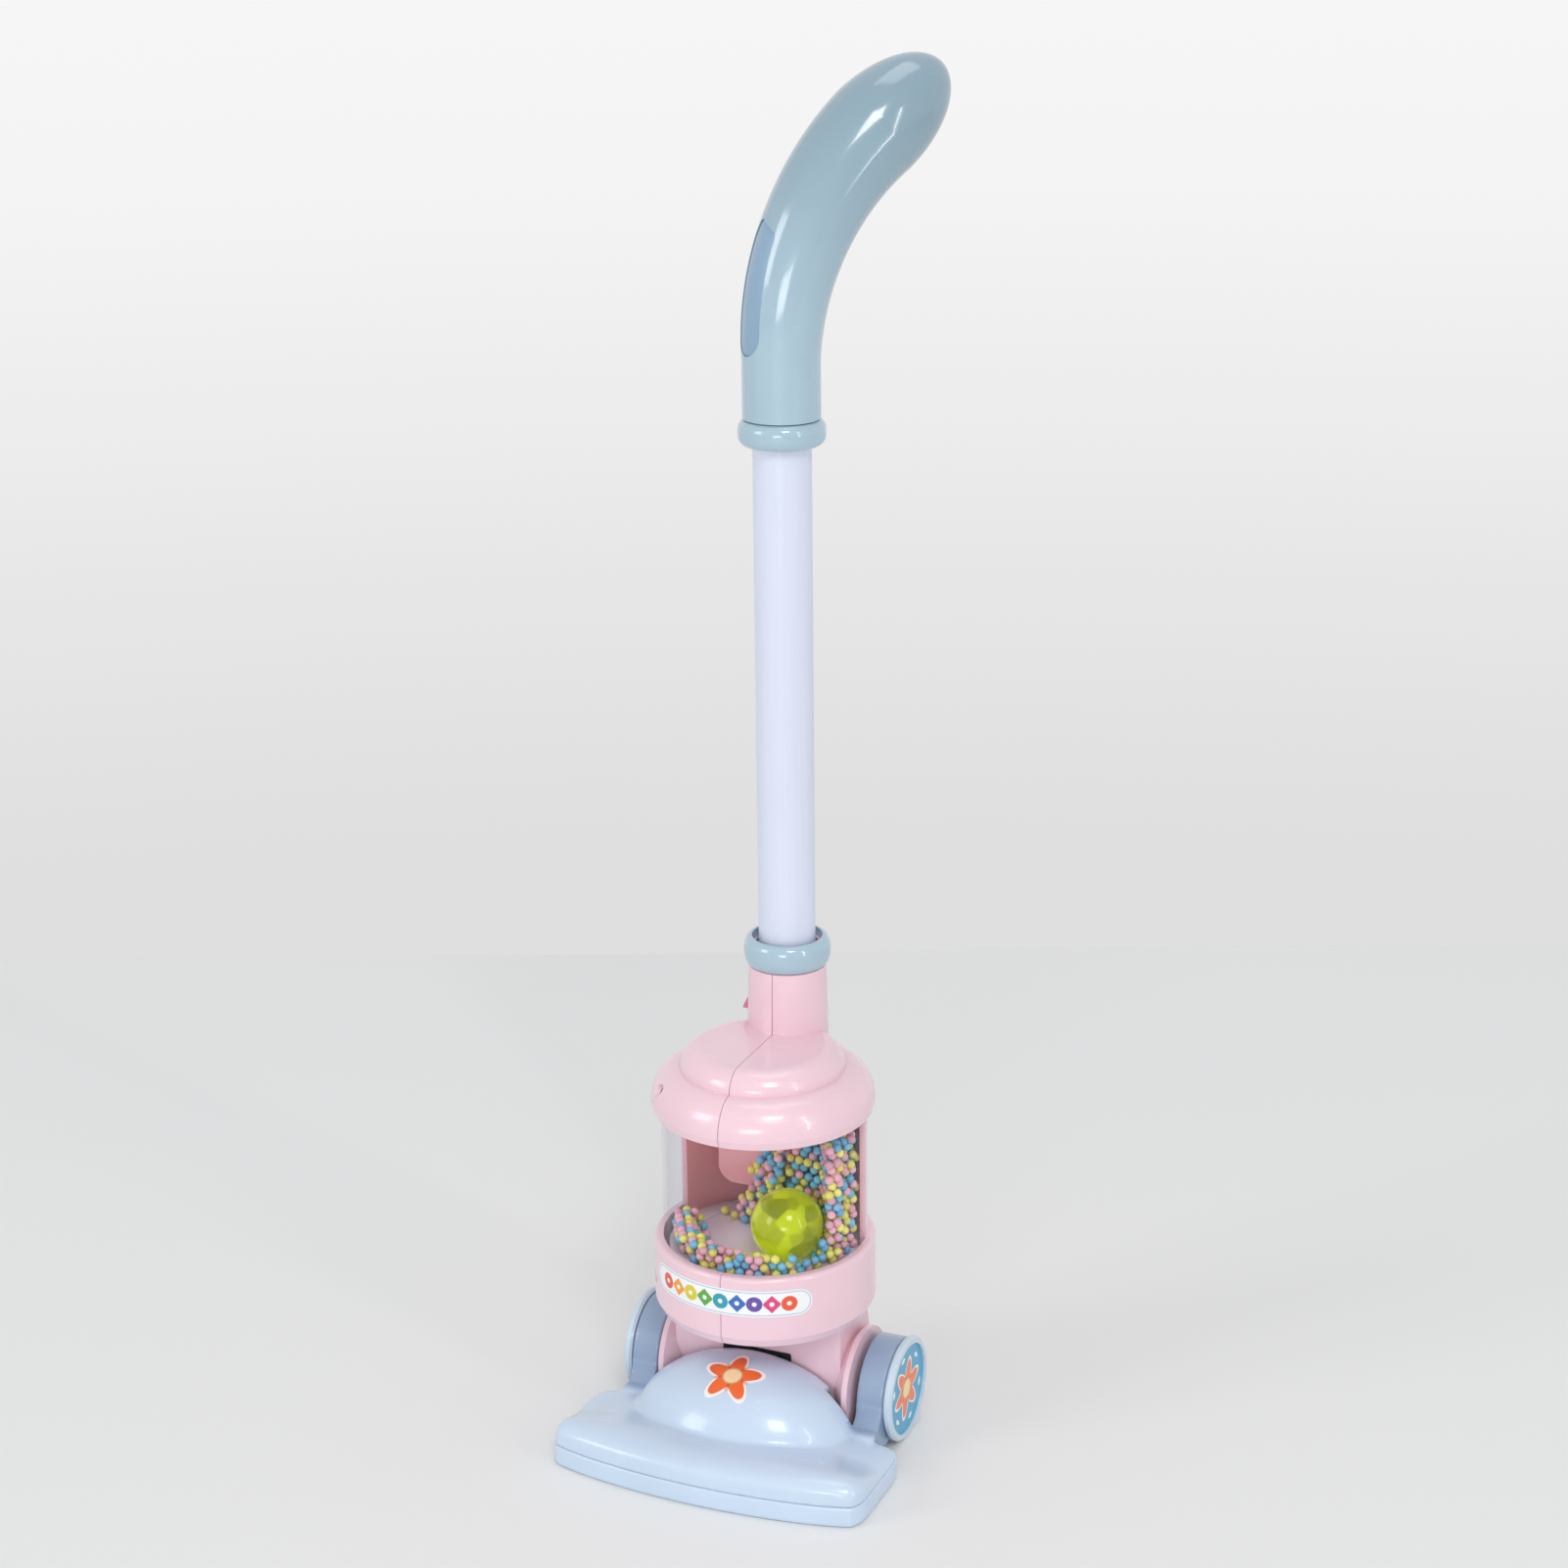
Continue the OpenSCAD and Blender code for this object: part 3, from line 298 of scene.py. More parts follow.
@dataclass(frozen=True)
class Finish:
    """What every finish has: a name, a tone and its spread, its gloss, and how deep light goes into it."""

    name: str
    tone: Colour
    darkest: float = 1.0
    lightest: float = 1.0
    roughness: float = 0.24
    coat: float = 0.0
    coat_roughness: float = 0.03
    depth: float = 0.0
    depth_reach: Sequence[float] = (0.004, 0.003, 0.003)

    def tones(self, g: Graph, share: Sock) -> Sock:
        """Mixes the tone from its darkest to its lightest."""
        return g.mix(share, linear(self.tone, self.darkest), linear(self.tone, self.lightest))

    def shader(self, g: Graph, colour: Any, rough: Sock, **inputs: Any) -> Sock:
        """Adds the main shader with the finish's own gloss and depth.

        Args:
            g: the material's graph.
            colour: the base colour.
            rough: the roughness.
            inputs: further inputs of the shader.

        Returns:
            The shader.
        """
        return g.principled(
            Base_Color=colour,
            Roughness=rough,
            Coat_Weight=self.coat,
            Coat_Roughness=self.coat_roughness,
            Subsurface_Weight=self.depth,
            Subsurface_Radius=self.depth_reach,
            Subsurface_Scale=1.0,
            **inputs,
        )

    def paint(self, g: Graph, p: Sock) -> Sock:
        """Gives the shader of the finish, which each kind works out in its own way.

        Args:
            g: the material's graph.
            p: the point on the object.

        Returns:
            The shader.
        """
        raise NotImplementedError(self.name)

    def make(self) -> bpy.types.Material:
        """Makes the material."""
        g = Graph.material(self.name)
        return g.finish(self.paint(g, g.place()))


@dataclass(frozen=True)
class Moulded(Finish):
    """Moulded plastic with faint flow clouds, fine grain and light rubbing; some finishes add painted shade
    or painted bounce light in given places.
    """

    coat: float = 0.3
    coat_roughness: float = 0.08
    darkest: float = 0.965
    lightest: float = 1.035
    flow: Noise = Noise(26.0, 3.0, dulls=0.05)
    rub: Noise = Noise(190.0, 4.0, (1.0, 1.0, 0.35), dulls=0.04)
    fine: Noise = Noise(1900.0, depth=0.00004)
    grain: float = 0.05
    # Painted shade: the wheel hoods and their arms are darker than the rest of the cover
    hood_shade_tone: Optional[Colour] = None
    hood_x: float = 47.9
    hood_shade_root_y: float = -27.0
    hood_shade_blend: float = 5.0
    # Painted bounce light: a warmer, deeper pink inside the chamber
    inner_bounce_tone: Optional[Colour] = None
    inner_r: float = 44.0
    # Painted shade: the grip is darker towards its end, above this height
    end_shade_tone: Optional[Colour] = None
    end_shade_z: float = 535.0
    end_shade_blend: float = 120.0

    def colour(self, g: Graph, p: Sock, flow: Sock) -> Sock:
        """Gives the colour, with painted shade on the hoods and towards the grip's end, and painted bounce
        light inside the chamber.

        Args:
            g: the material's graph.
            p: the point on the object.
            flow: the flow clouds.

        Returns:
            The colour.
        """
        tone = self.tones(g, flow)
        # Painted shade on the hoods and arms, blended softly at the arms' root
        if self.hood_shade_tone:
            x, y, _ = g.split(p)
            hood = 1.0 - y.soft_below(self.hood_shade_root_y * MM, self.hood_shade_blend * MM)
            hood = hood * (x.math("ABSOLUTE") > self.hood_x * MM)
            tone = g.mix(hood, tone, linear(self.hood_shade_tone))
        # Painted warm bounce light on the inside of the chamber
        if self.inner_bounce_tone:
            x, y, z = g.split(p)
            y = y - CHAMBER_Y * MM
            inside = x * x + y * y < (self.inner_r * MM) ** 2
            inside = inside * (z > FLOOR_Z * MM) * (z < DOME_Z0 * MM)
            tone = g.mix(inside, tone, linear(self.inner_bounce_tone))
        # Painted shade: darker towards the grip's end
        if self.end_shade_tone:
            _, _, z = g.split(p)
            high = 1.0 - z.soft_below(self.end_shade_z * MM, self.end_shade_blend * MM)
            tone = g.mix(high, tone, linear(self.end_shade_tone))
        return tone

    def paint(self, g: Graph, p: Sock) -> Sock:
        """Gives the shader."""
        flow, rub = g.noise(p, self.flow), g.noise(p, self.rub)
        rough = self.roughness + (flow - 0.5) * self.flow.dulls + (rub - 0.5) * self.rub.dulls
        normal = g.bump(g.noise(p, self.fine), self.fine.depth, self.grain)
        return self.shader(g, self.colour(g, p, flow), rough, Normal=normal)


@dataclass(frozen=True)
class Extruded(Finish):
    """Pale extruded tube with faint lengthwise drawing lines."""

    darkest: float = 0.965
    lightest: float = 1.03
    roughness: float = 0.3
    depth: float = 0.15
    depth_reach: Sequence[float] = (0.006, 0.006, 0.007)
    clouds: Noise = Noise(14.0)
    lines: Noise = Noise(900.0, 3.0, (1.0, 1.0, 0.012), dulls=0.1, depth=0.00005, shows=0.12)

    def paint(self, g: Graph, p: Sock) -> Sock:
        """Gives the shader."""
        lines = g.noise(p, self.lines)
        tone = self.tones(g, lines * 0.5 + g.noise(p, self.clouds) * 0.5)
        rough = self.roughness + (lines - 0.5) * self.lines.dulls
        return self.shader(g, tone, rough, Normal=g.bump(lines, self.lines.depth, self.lines.shows))


@dataclass(frozen=True)
class Clear(Finish):
    """Thin clear plastic: see-through, with gloss that grows at the edges."""

    roughness: float = 0.05
    coat: float = 0.6
    through: Colour = (0.985, 0.985, 0.99)
    haze: float = 0.003
    edge_gloss: float = 0.34
    edge_power: float = 5.0
    smear: Noise = Noise(60.0, 3.0, (1.0, 1.0, 0.5), dulls=0.05, shows=0.01)

    def paint(self, g: Graph, p: Sock) -> Sock:
        """Gives the shader."""
        smear = g.noise(p, self.smear)
        facing = g.node("ShaderNodeLayerWeight", {}, {"Blend": 0.5}, "Facing")
        share = self.haze + facing**self.edge_power * self.edge_gloss + smear * self.smear.shows
        gloss = self.shader(g, linear(self.tone), self.roughness + smear * self.smear.dulls)
        through = g.node("ShaderNodeBsdfTransparent", {}, {"Color": linear(self.through)})
        return g.node("ShaderNodeMixShader", {}, {0: share, 1: through, 2: gloss})


@dataclass(frozen=True)
class Tinted(Finish):
    """Bright see-through plastic of the loose ball, with painted glints and shade of cut facets inside, and a
    painted glow.
    """

    darkest: float = 0.7
    lightest: float = 1.16
    roughness: float = 0.03
    coat: float = 0.35
    # Painted glow: the ball gives off light in its own tone
    painted_glow: float = 0.2
    ior: float = 1.36
    gloss: float = 0.25
    see_through: float = 0.5
    # Painted light and shade of the inner facets, between darkest and lightest
    facet_glints: Noise = Noise(130.0, shows=0.7)
    streaks: Noise = Noise(90.0, 3.0, dulls=0.04, shows=0.3)

    def paint(self, g: Graph, p: Sock) -> Sock:
        """Gives the shader."""
        streak = g.noise(p, self.streaks)
        # Painted glints and shade of the facets
        facet_glint, _, _ = g.split(g.cells(p, self.facet_glints.scale, "Color"))
        tone = self.tones(g, facet_glint * self.facet_glints.shows + streak * self.streaks.shows)
        return self.shader(
            g,
            tone,
            self.roughness + streak * self.streaks.dulls,
            IOR=self.ior,
            Specular_IOR_Level=self.gloss,
            Transmission_Weight=self.see_through,
            # Painted glow
            Emission_Color=tone,
            Emission_Strength=self.painted_glow,
        )


@dataclass(frozen=True)
class Foam(Finish):
    """Foam beads: each a little lighter or darker, with a fine cell pattern."""

    darkest: float = 0.90
    lightest: float = 1.07
    roughness: float = 0.46
    depth: float = 0.12
    depth_reach: Sequence[float] = (0.002, 0.002, 0.002)
    cells: Noise = Noise(1600.0, dulls=0.12, depth=0.00012, shows=0.35)
    cell_share: float = 0.14
    cell_light: float = 1.16

    def paint(self, g: Graph, p: Sock) -> Sock:
        """Gives the shader."""
        own = g.node("ShaderNodeNewGeometry", out="Random Per Island")
        cells = g.cells(p, self.cells.scale, "Distance")
        tone = g.mix(cells * self.cell_share, self.tones(g, own), linear(self.tone, self.cell_light))
        rough = self.roughness + cells * self.cells.dulls
        return self.shader(g, tone, rough, Normal=g.bump(cells, self.cells.depth, self.cells.shows))


@dataclass(frozen=True)
class Metal(Finish):
    """Bright steel with fine brushing and a few dull spots."""

    darkest: float = 0.9
    lightest: float = 1.05
    roughness: float = 0.28
    spots: Noise = Noise(240.0, 3.0)
    brush: Noise = Noise(2600.0, 2.0, (0.05, 1.0, 1.0), dulls=0.12, depth=0.00003, shows=0.15)

    def paint(self, g: Graph, p: Sock) -> Sock:
        """Gives the shader."""
        brush = g.noise(p, self.brush)
        rough = self.roughness + brush * self.brush.dulls
        normal = g.bump(brush, self.brush.depth, self.brush.shows)
        return self.shader(g, self.tones(g, g.noise(p, self.spots)), rough, Metallic=1.0, Normal=normal)


@dataclass(frozen=True, kw_only=True)
class FlowerPrint(Finish):
    """A printed sticker with one plain round-petalled flower on its tone; sizes are shares of the radius."""

    petal: Colour
    heart: Colour
    centre: Sequence[float]
    across: Sequence[float]
    upward: Sequence[float]
    radius: float
    darkest: float = 0.95
    roughness: float = 0.26
    coat: float = 0.35
    coat_roughness: float = 0.06
    ink: Noise = Noise(300.0, 3.0, dulls=0.08, shows=0.25)
    paper: Noise = Noise(2400.0, depth=0.00003, shows=0.12)
    petals: int = 5
    reach: float = 0.50
    wave: float = 0.17
    edge: float = 0.03
    rim: float = 0.075
    rim_tone: Colour = (0.97, 0.95, 0.92)
    petal_light: float = 1.12
    petal_fade: float = 1.6
    vein_from: float = -0.86
    vein_edge: float = 0.12
    vein_r: float = 0.45
    vein_fade: float = 0.1
    vein_dark: float = 0.75
    heart_r: float = 0.205
    heart_rim_r: float = 0.235
    heart_dark: float = 0.8
    dots: Optional[Colour] = None
    dots_at: float = 0.8
    dots_stretch: float = 3.0
    dots_apart: float = 0.9
    dots_size: float = 0.16
    dots_edge: float = 0.06

    def paint(self, g: Graph, p: Sock) -> Sock:
        """Gives the shader."""
        p = g.vector("SUBTRACT", p, self.centre)
        u, v = (g.vector("DOT_PRODUCT", p, way, "Value") / self.radius for way in (self.across, self.upward))
        r = (u * u + v * v) ** 0.5
        wave = (v.math("ARCTAN2", u) * float(self.petals)).math("SINE")
        ink = g.noise(p, self.ink)
        colour = g.mix(ink * self.ink.shows, linear(self.tone), linear(self.tone, self.darkest))
        if self.dots:
            away = (r - self.dots_at).math("ABSOLUTE") * self.dots_stretch
            dot = away + (wave * 0.5 + 0.5) * self.dots_apart
            colour = g.mix(dot.soft_below(self.dots_size, self.dots_edge), colour, linear(self.dots))
        past = r - (self.reach + wave * self.wave)
        fade = (r * self.petal_fade).math("MINIMUM", 1.0)
        petal = g.mix(fade, linear(self.petal, self.petal_light), linear(self.petal))
        colour = g.mix(past.soft_below(self.rim, self.edge), colour, linear(self.rim_tone))
        colour = g.mix(past.soft_below(0.0, self.edge), colour, petal)
        vein = wave.soft_below(self.vein_from, self.vein_edge) * r.soft_below(self.vein_r, self.vein_fade)
        colour = g.mix(vein * 0.5, colour, linear(self.petal, self.vein_dark))
        colour = g.mix(r.soft_below(self.heart_rim_r, self.edge), colour, linear(self.heart, self.heart_dark))
        colour = g.mix(r.soft_below(self.heart_r, self.edge), colour, linear(self.heart))
        normal = g.bump(g.noise(p, self.paper), self.paper.depth, self.paper.shows)
        return self.shader(g, colour, self.roughness + ink * self.ink.dulls, Normal=normal)


@dataclass(frozen=True, kw_only=True)
class BandPrint(Finish):
    """A printed pale band with a row of coloured dots and diamonds inside a thin outline."""

    axis_y: float
    radius: float
    middle_z: float
    half_length: float
    half_height: float
    row: Sequence[Colour]
    outline: Colour
    pitch: float
    roughness: float = 0.25
    coat: float = 0.35
    coat_roughness: float = 0.06
    ink: Noise = Noise(320.0, 3.0, dulls=0.08, depth=0.00003, shows=0.1)
    ink_share: float = 0.3
    ink_tone: Colour = (0.925, 0.93, 0.94)
    hole_tone: Colour = (0.97, 0.96, 0.94)
    line_at: float = 0.86
    line_half: float = 0.035
    line_edge: float = 0.0002
    mark_size: float = 0.47
    mark_edge: float = 0.0003
    diamond: float = 1.18
    hole: float = 0.3

    def paint(self, g: Graph, p: Sock) -> Sock:
        """Gives the shader."""
        x, y, z = g.split(p)
        along = x.math("ARCTAN2", (y - self.axis_y) * -1.0) * self.radius
        up = z - self.middle_z
        ink = g.noise(p, self.ink)
        colour = g.mix(ink * self.ink_share, linear(self.tone), linear(self.ink_tone))
        core = (along.math("ABSOLUTE") - (self.half_length - self.half_height)).math("MAXIMUM", 0.0)
        away = ((core * core + up * up) ** 0.5 - self.half_height * self.line_at).math("ABSOLUTE")
        line = away.soft_below(self.half_height * self.line_half, self.line_edge)
        colour = g.mix(line, colour, linear(self.outline))
        count = len(self.row)
        cell = (along / self.pitch + count / 2.0).math("FLOOR")
        u = along - (cell - count / 2.0 + 0.5) * self.pitch
        stops = [(i / count, linear(c)) for i, c in enumerate(self.row)]
        settings = {"ramp_mode": "CONSTANT", "stops": stops}
        tint = g.node("ShaderNodeValToRGB", settings, {"Fac": (cell + 0.5) / count}, "Color")
        size = self.pitch * self.mark_size
        r = (u * u + up * up) ** 0.5
        diamond = u.math("ABSOLUTE") + up.math("ABSOLUTE")
        odd = cell.math("MODULO", 2.0).math("ABSOLUTE")
        mark = r.soft_below(size, self.mark_edge) * (1.0 - odd)
        mark = mark + diamond.soft_below(size * self.diamond, self.mark_edge) * odd
        inside = along.math("ABSOLUTE").soft_below(self.pitch * count / 2.0, self.line_edge)
        colour = g.mix(mark * inside, colour, tint)
        hole = r.soft_below(size * self.hole, self.mark_edge) * inside
        colour = g.mix(hole, colour, linear(self.hole_tone))
        normal = g.bump(ink, self.ink.depth, self.ink.shows)
        return self.shader(g, colour, self.roughness + ink * self.ink.dulls, Normal=normal)


class Shading(Enum):
    """How a mesh is shaded."""

    SMOOTH = "smooth"
    CREASED = "creased"
    FLAT = "flat"


def shade(mesh: bpy.types.Mesh, how: Shading, crease: float = SHARP) -> None:
    """Sets a mesh's shading.

    Args:
        mesh: the mesh.
        how: smooth all over, smooth up to an angle, or flat.
        crease: the angle in degrees above which an edge stays sharp.
    """
    mesh.polygons.foreach_set("use_smooth", [how is not Shading.FLAT] * len(mesh.polygons))
    if how is Shading.CREASED:
        mesh.set_sharp_from_angle(angle=math.radians(crease))
    mesh.update()


def piece(
    name: str, points: Any, faces: Any, how: Shading = Shading.CREASED, crease: float = SHARP
) -> bpy.types.Object:
    """Makes a mesh object from points in millimetres.

    Args:
        name: the piece's name.
        points: rows of x, y, z in millimetres.
        faces: rows of point numbers.
        how: its shading.
        crease: angle for creased shading.

    Returns:
        The new object.
    """
    mesh = bpy.data.meshes.new(name)
    mesh.from_pydata((np.asarray(points, float) * MM).tolist(), [], [list(map(int, f)) for f in faces])
    work = bmesh.new()
    work.from_mesh(mesh)
    bmesh.ops.remove_doubles(work, verts=work.verts, dist=MERGE)
    bmesh.ops.recalc_face_normals(work, faces=work.faces)
    work.to_mesh(mesh)
    work.free()
    shade(mesh, how, crease)
    made = bpy.data.objects.new(name, mesh)
    bpy.context.scene.collection.objects.link(made)
    return made


def carve(target: bpy.types.Object, tool: bpy.types.Object, operation: str, crease: float = SHARP) -> None:
    """Cuts or trims one closed mesh with another and removes the tool.

    Args:
        target: the object that is changed.
        tool: the object that cuts it, removed afterwards.
        operation: DIFFERENCE or INTERSECT.
        crease: angle above which an edge stays sharp.
    """
    modifier = target.modifiers.new("carve", "BOOLEAN")
    modifier.operation = operation
    modifier.solver = "EXACT"
    modifier.object = tool
    bpy.context.view_layer.update()
    result = bpy.data.meshes.new_from_object(target.evaluated_get(bpy.context.evaluated_depsgraph_get()))
    target.modifiers.clear()
    old = target.data
    target.data = result
    bpy.data.meshes.remove(old)
    bpy.data.objects.remove(tool)
    shade(target.data, Shading.CREASED, crease)


def shell_faces(rows: int, cols: int) -> list[tuple[int, ...]]:
    """Gives the faces of a closed sheet made of an outer and an inner grid of points.

    Args:
        rows: points along the first way.
        cols: points along the second way.

    Returns:
        Faces over the outer grid, the inner grid after it, and the edge between them.
    """
    count = rows * cols
    faces: list[tuple[int, ...]] = []
    for i in range(rows - 1):
        for j in range(cols - 1):
            a = i * cols + j
            quad = (a, a + 1, a + cols + 1, a + cols)
            faces.append(quad)
            faces.append(tuple(q + count for q in reversed(quad)))
    edge = list(range(cols))
    edge += [i * cols + cols - 1 for i in range(1, rows)]
    edge += [(rows - 1) * cols + j for j in range(cols - 2, -1, -1)]
    edge += [i * cols for i in range(rows - 2, 0, -1)]
    for a, b in zip(edge, edge[1:] + edge[:1]):
        faces.append((b, a, a + count, b + count))
    return faces


def stack_faces(rings: int, n: int) -> list[tuple[int, ...]]:
    """Gives the faces of a closed stack of rings, with a cap at each end.

    Args:
        rings: how many rings there are.
        n: points in each.

    Returns:
        The lower cap, the sides and the upper cap.
    """
    faces = [tuple(range(n - 1, -1, -1))]
    for a in range(0, (rings - 1) * n, n):
        faces += [(a + i, a + (i + 1) % n, a + n + (i + 1) % n, a + n + i) for i in range(n)]
    return faces + [tuple(range((rings - 1) * n, rings * n))]


def icosphere(subdivisions: int, radius: float) -> tuple[Array, Array]:
    """Makes a ball of triangles.

    Args:
        subdivisions: how fine it is.
        radius: its radius.

    Returns:
        Points and triangles.
    """
    work = bmesh.new()
    bmesh.ops.create_icosphere(work, subdivisions=subdivisions, radius=radius)
    points = np.array([v.co for v in work.verts])
    triangles = np.array([[v.index for v in f.verts] for f in work.faces])
    work.free()
    return points, triangles


def lathe(
    name: str, profile: Sequence[Sequence[float]], y: float, around: int = 128, crease: float = 40.0
) -> bpy.types.Object:
    """Turns a closed profile around an upright axis.

    Args:
        name: the piece's name.
        profile: its corners as radius and height.
        y: where the axis stands.
        around: steps around it.
        crease: angle above which an edge stays sharp.

    Returns:
        The turned piece.
    """
    turns = np.linspace(0, 2 * math.pi, around, endpoint=False)
    points = [(r * math.cos(t), y + r * math.sin(t), z) for t in turns for r, z in profile]
    n = len(profile)
    faces = []
    for i in range(around):
        a, b = i * n, (i + 1) % around * n
        faces += [(a + k, b + k, b + (k + 1) % n, a + (k + 1) % n) for k in range(n)]
    return piece(name, points, faces, Shading.CREASED, crease)


def barrel(
    r_in: float, box: Sequence[Sequence[float]], power: float, steps: int = 40, foot: float = 0.12
) -> list[tuple[float, float]]:
    """Gives the profile of a bulged ring.

    Args:
        r_in: inner radius.
        box: lowest and highest corners of the ring, in metres.
        power: 2 for a round bulge, more for a fuller one.
        steps: points over the bulge.
        foot: share of the thickness at its edges.

    Returns:
        The corners as radius and height.
    """
    r_out, z0, z1 = box[1][0] / MM, box[0][2] / MM, box[1][2] / MM
    half, middle = (z1 - z0) / 2, (z0 + z1) / 2
    bulge = []
    for k in range(steps + 1):
        a = math.pi * k / steps - math.pi / 2
        c, s = max(math.cos(a), 0.0) ** (2 / power), math.sin(a)
        out = r_in + (r_out - r_in) * (foot + (1 - foot) * c)
        bulge.append((out, middle + half * math.copysign(abs(s) ** (2 / power), s)))
    return [(r_in, z0)] + bulge + [(r_in, z1)]


def ramp(value: Array, start: Any, width: float) -> Array:
    """Gives 0 up to a start and 1 from a width after it, straight between."""
    return np.clip((value - start) / width, 0, 1)


def soft_min(a: Array, b: Array, blend: float) -> Array:
    """Joins two solids with a fillet.

    Args:
        a: distance to the first solid.
        b: distance to the second solid.
        blend: reach of the fillet in millimetres.

    Returns:
        Distance to both.
    """
    h = np.clip(0.5 + 0.5 * (b - a) / blend, 0.0, 1.0)
    return b * (1 - h) + a * h - blend * h * (1 - h)


def soft_max(a: Array, b: Array, blend: float) -> Array:
    """Keeps what two solids share, with a rounded edge."""
    return -soft_min(-a, -b, blend)


def pulled(flat: Array, p: Array, x0: float, x1: float) -> Array:
    """Gives the distance to an outline that is pulled along X.

    Args:
        flat: distance to the outline in Y and Z.
        p: rows of points.
        x0: one end.
        x1: the other end.

    Returns:
        Distance, below 0 inside.
    """
    along = np.abs(p[:, 0] - (x0 + x1) / 2) - abs(x1 - x0) / 2
    return np.hypot(np.maximum(flat, 0), np.maximum(along, 0)) + np.minimum(np.maximum(flat, along), 0)


def drum(p: Array, x0: float, x1: float, radius: float) -> Array:
    """Gives the distance to a round drum on the wheels' axle.

    Args:
        p: rows of points.
        x0: one end.
        x1: the other end.
        radius: its radius.

    Returns:
        Distance, below 0 inside.
    """
    return pulled(np.hypot(p[:, 1] - AXLE_Y, p[:, 2] - AXLE_Z) - radius, p, x0, x1)


def plate(p: Array, corners: list[tuple[float, float]], x0: float, x1: float) -> Array:
    """Gives the distance to a plate along X.

    Args:
        p: rows of points.
        corners: corners of its outline in y, z.
        x0: one end.
        x1: the other end.

    Returns:
        Distance, below 0 inside.
    """
    y, z = p[:, 1], p[:, 2]
    best, sign = np.full(len(p), np.inf), np.ones(len(p))
    for (ay, az), (by, bz) in zip(corners, corners[1:] + corners[:1]):
        ey, ez = by - ay, bz - az
        wy, wz = y - ay, z - az
        t = np.clip((wy * ey + wz * ez) / (ey * ey + ez * ez), 0, 1)
        best = np.minimum(best, (wy - ey * t) ** 2 + (wz - ez * t) ** 2)
        above_a, below_b, left = z >= az, z < bz, ey * wz > ez * wy
        flip = (above_a & below_b & left) | ~(above_a | below_b | left)
        sign = np.where(flip, -sign, sign)
    return pulled(sign * np.sqrt(best), p, x0, x1)


def slopes(field: Field, p: Array, reach: float) -> Array:
    """Gives how a field grows along X, Y and Z.

    Args:
        field: the field for rows of points.
        p: rows of points.
        reach: half step, in millimetres.

    Returns:
        Rows of three slopes.
    """
    return np.stack([(field(p + s) - field(p - s)) / (2 * reach) for s in np.eye(3) * reach], -1)


def levelled(field: Field, p: Array, reach: float = 0.05, least: float = 1e-4) -> Array:
    """Turns any smooth field into a rough distance by its slope.

    Args:
        field: the field, below 0 inside.
        p: rows of points.
        reach: half step for the slope, in millimetres.
        least: least slope that counts.

    Returns:
        The field divided by its slope.
    """
    return field(p) / np.maximum(np.sqrt((slopes(field, p, reach) ** 2).sum(1)), least)


def skin(
    field: Field,
    low: Sequence[float],
    high: Sequence[float],
    step: float,
    parts: int = 12,
    rounds: int = 3,
    reach: float = 0.02,
    least: float = 0.05,
) -> tuple[Array, Array]:
    """Wraps a closed skin of quads around a solid given by a distance.

    Args:
        field: distance to the solid for rows of points.
        low: lowest corner of the space that is searched.
        high: highest corner.
        step: size of the quads.
        parts: parts in which the space is searched.
        rounds: times that the points are drawn onto the solid.
        reach: half step for the slope there.
        least: least squared slope that counts.

    Returns:
        Points and quads.
    """
    axes = [np.arange(a, b + step, step) for a, b in zip(low, high)]
    shape = tuple(len(a) for a in axes)
    grid = np.stack(np.meshgrid(*axes, indexing="ij"), -1).reshape(-1, 3)
    v = np.concatenate([field(part) for part in np.array_split(grid, parts)]).reshape(shape)
    inside = v < 0
    cells = tuple(n - 1 for n in shape)
    total, count = np.zeros(cells + (3,)), np.zeros(cells)
    crossings = []
    for axis in range(3):
        first = [slice(None)] * 3
        second = [slice(None)] * 3
        first[axis], second[axis] = slice(0, -1), slice(1, None)
        a, b = v[tuple(first)], v[tuple(second)]
        crossed = inside[tuple(first)] != inside[tuple(second)]
        share = np.where(crossed, a / np.where(crossed, a - b, 1.0), 0.0)
        crossings.append(crossed)
        one, two = [k for k in range(3) if k != axis]
        for i in (0, 1):
            for j in (0, 1):
                part = [slice(None)] * 3
                part[one] = slice(i, shape[one] - 1 + i)
                part[two] = slice(j, shape[two] - 1 + j)
                c = crossed[tuple(part)]
                count += c
                total[..., axis] += c * share[tuple(part)]
                total[..., one] += c * i
                total[..., two] += c * j
    used = count > 0
    number = np.full(cells, -1)
    number[used] = np.arange(used.sum())
    corner = np.stack(np.nonzero(used), -1)
    points = (corner + total[used] / count[used][:, None]) * step + np.array([a[0] for a in axes])
    quads = []
    for axis, crossed in enumerate(crossings):
        one, two = [k for k in range(3) if k != axis]
        at = np.stack(np.nonzero(crossed), -1)
        keep = (at[:, one] > 0) & (at[:, two] > 0) & (at[:, one] < cells[one]) & (at[:, two] < cells[two])
        at = at[keep]
        ring = []
        for i, j in ((-1, -1), (0, -1), (0, 0), (-1, 0)):
            near = at.copy()
            near[:, one] += i
            near[:, two] += j
            ring.append(number[near[:, 0], near[:, 1], near[:, 2]])
        ring = np.stack(ring, -1)
        flip = inside[at[:, 0], at[:, 1], at[:, 2]] != (axis == 1)
        ring[~flip] = ring[~flip][:, ::-1]
        quads.append(ring)
    for _ in range(rounds):
        slope = slopes(field, points, reach)
        size = np.maximum((slope**2).sum(1), least)
        points = points - np.clip(field(points) / size, -step / 2, step / 2)[:, None] * slope
    return points, np.concatenate(quads)


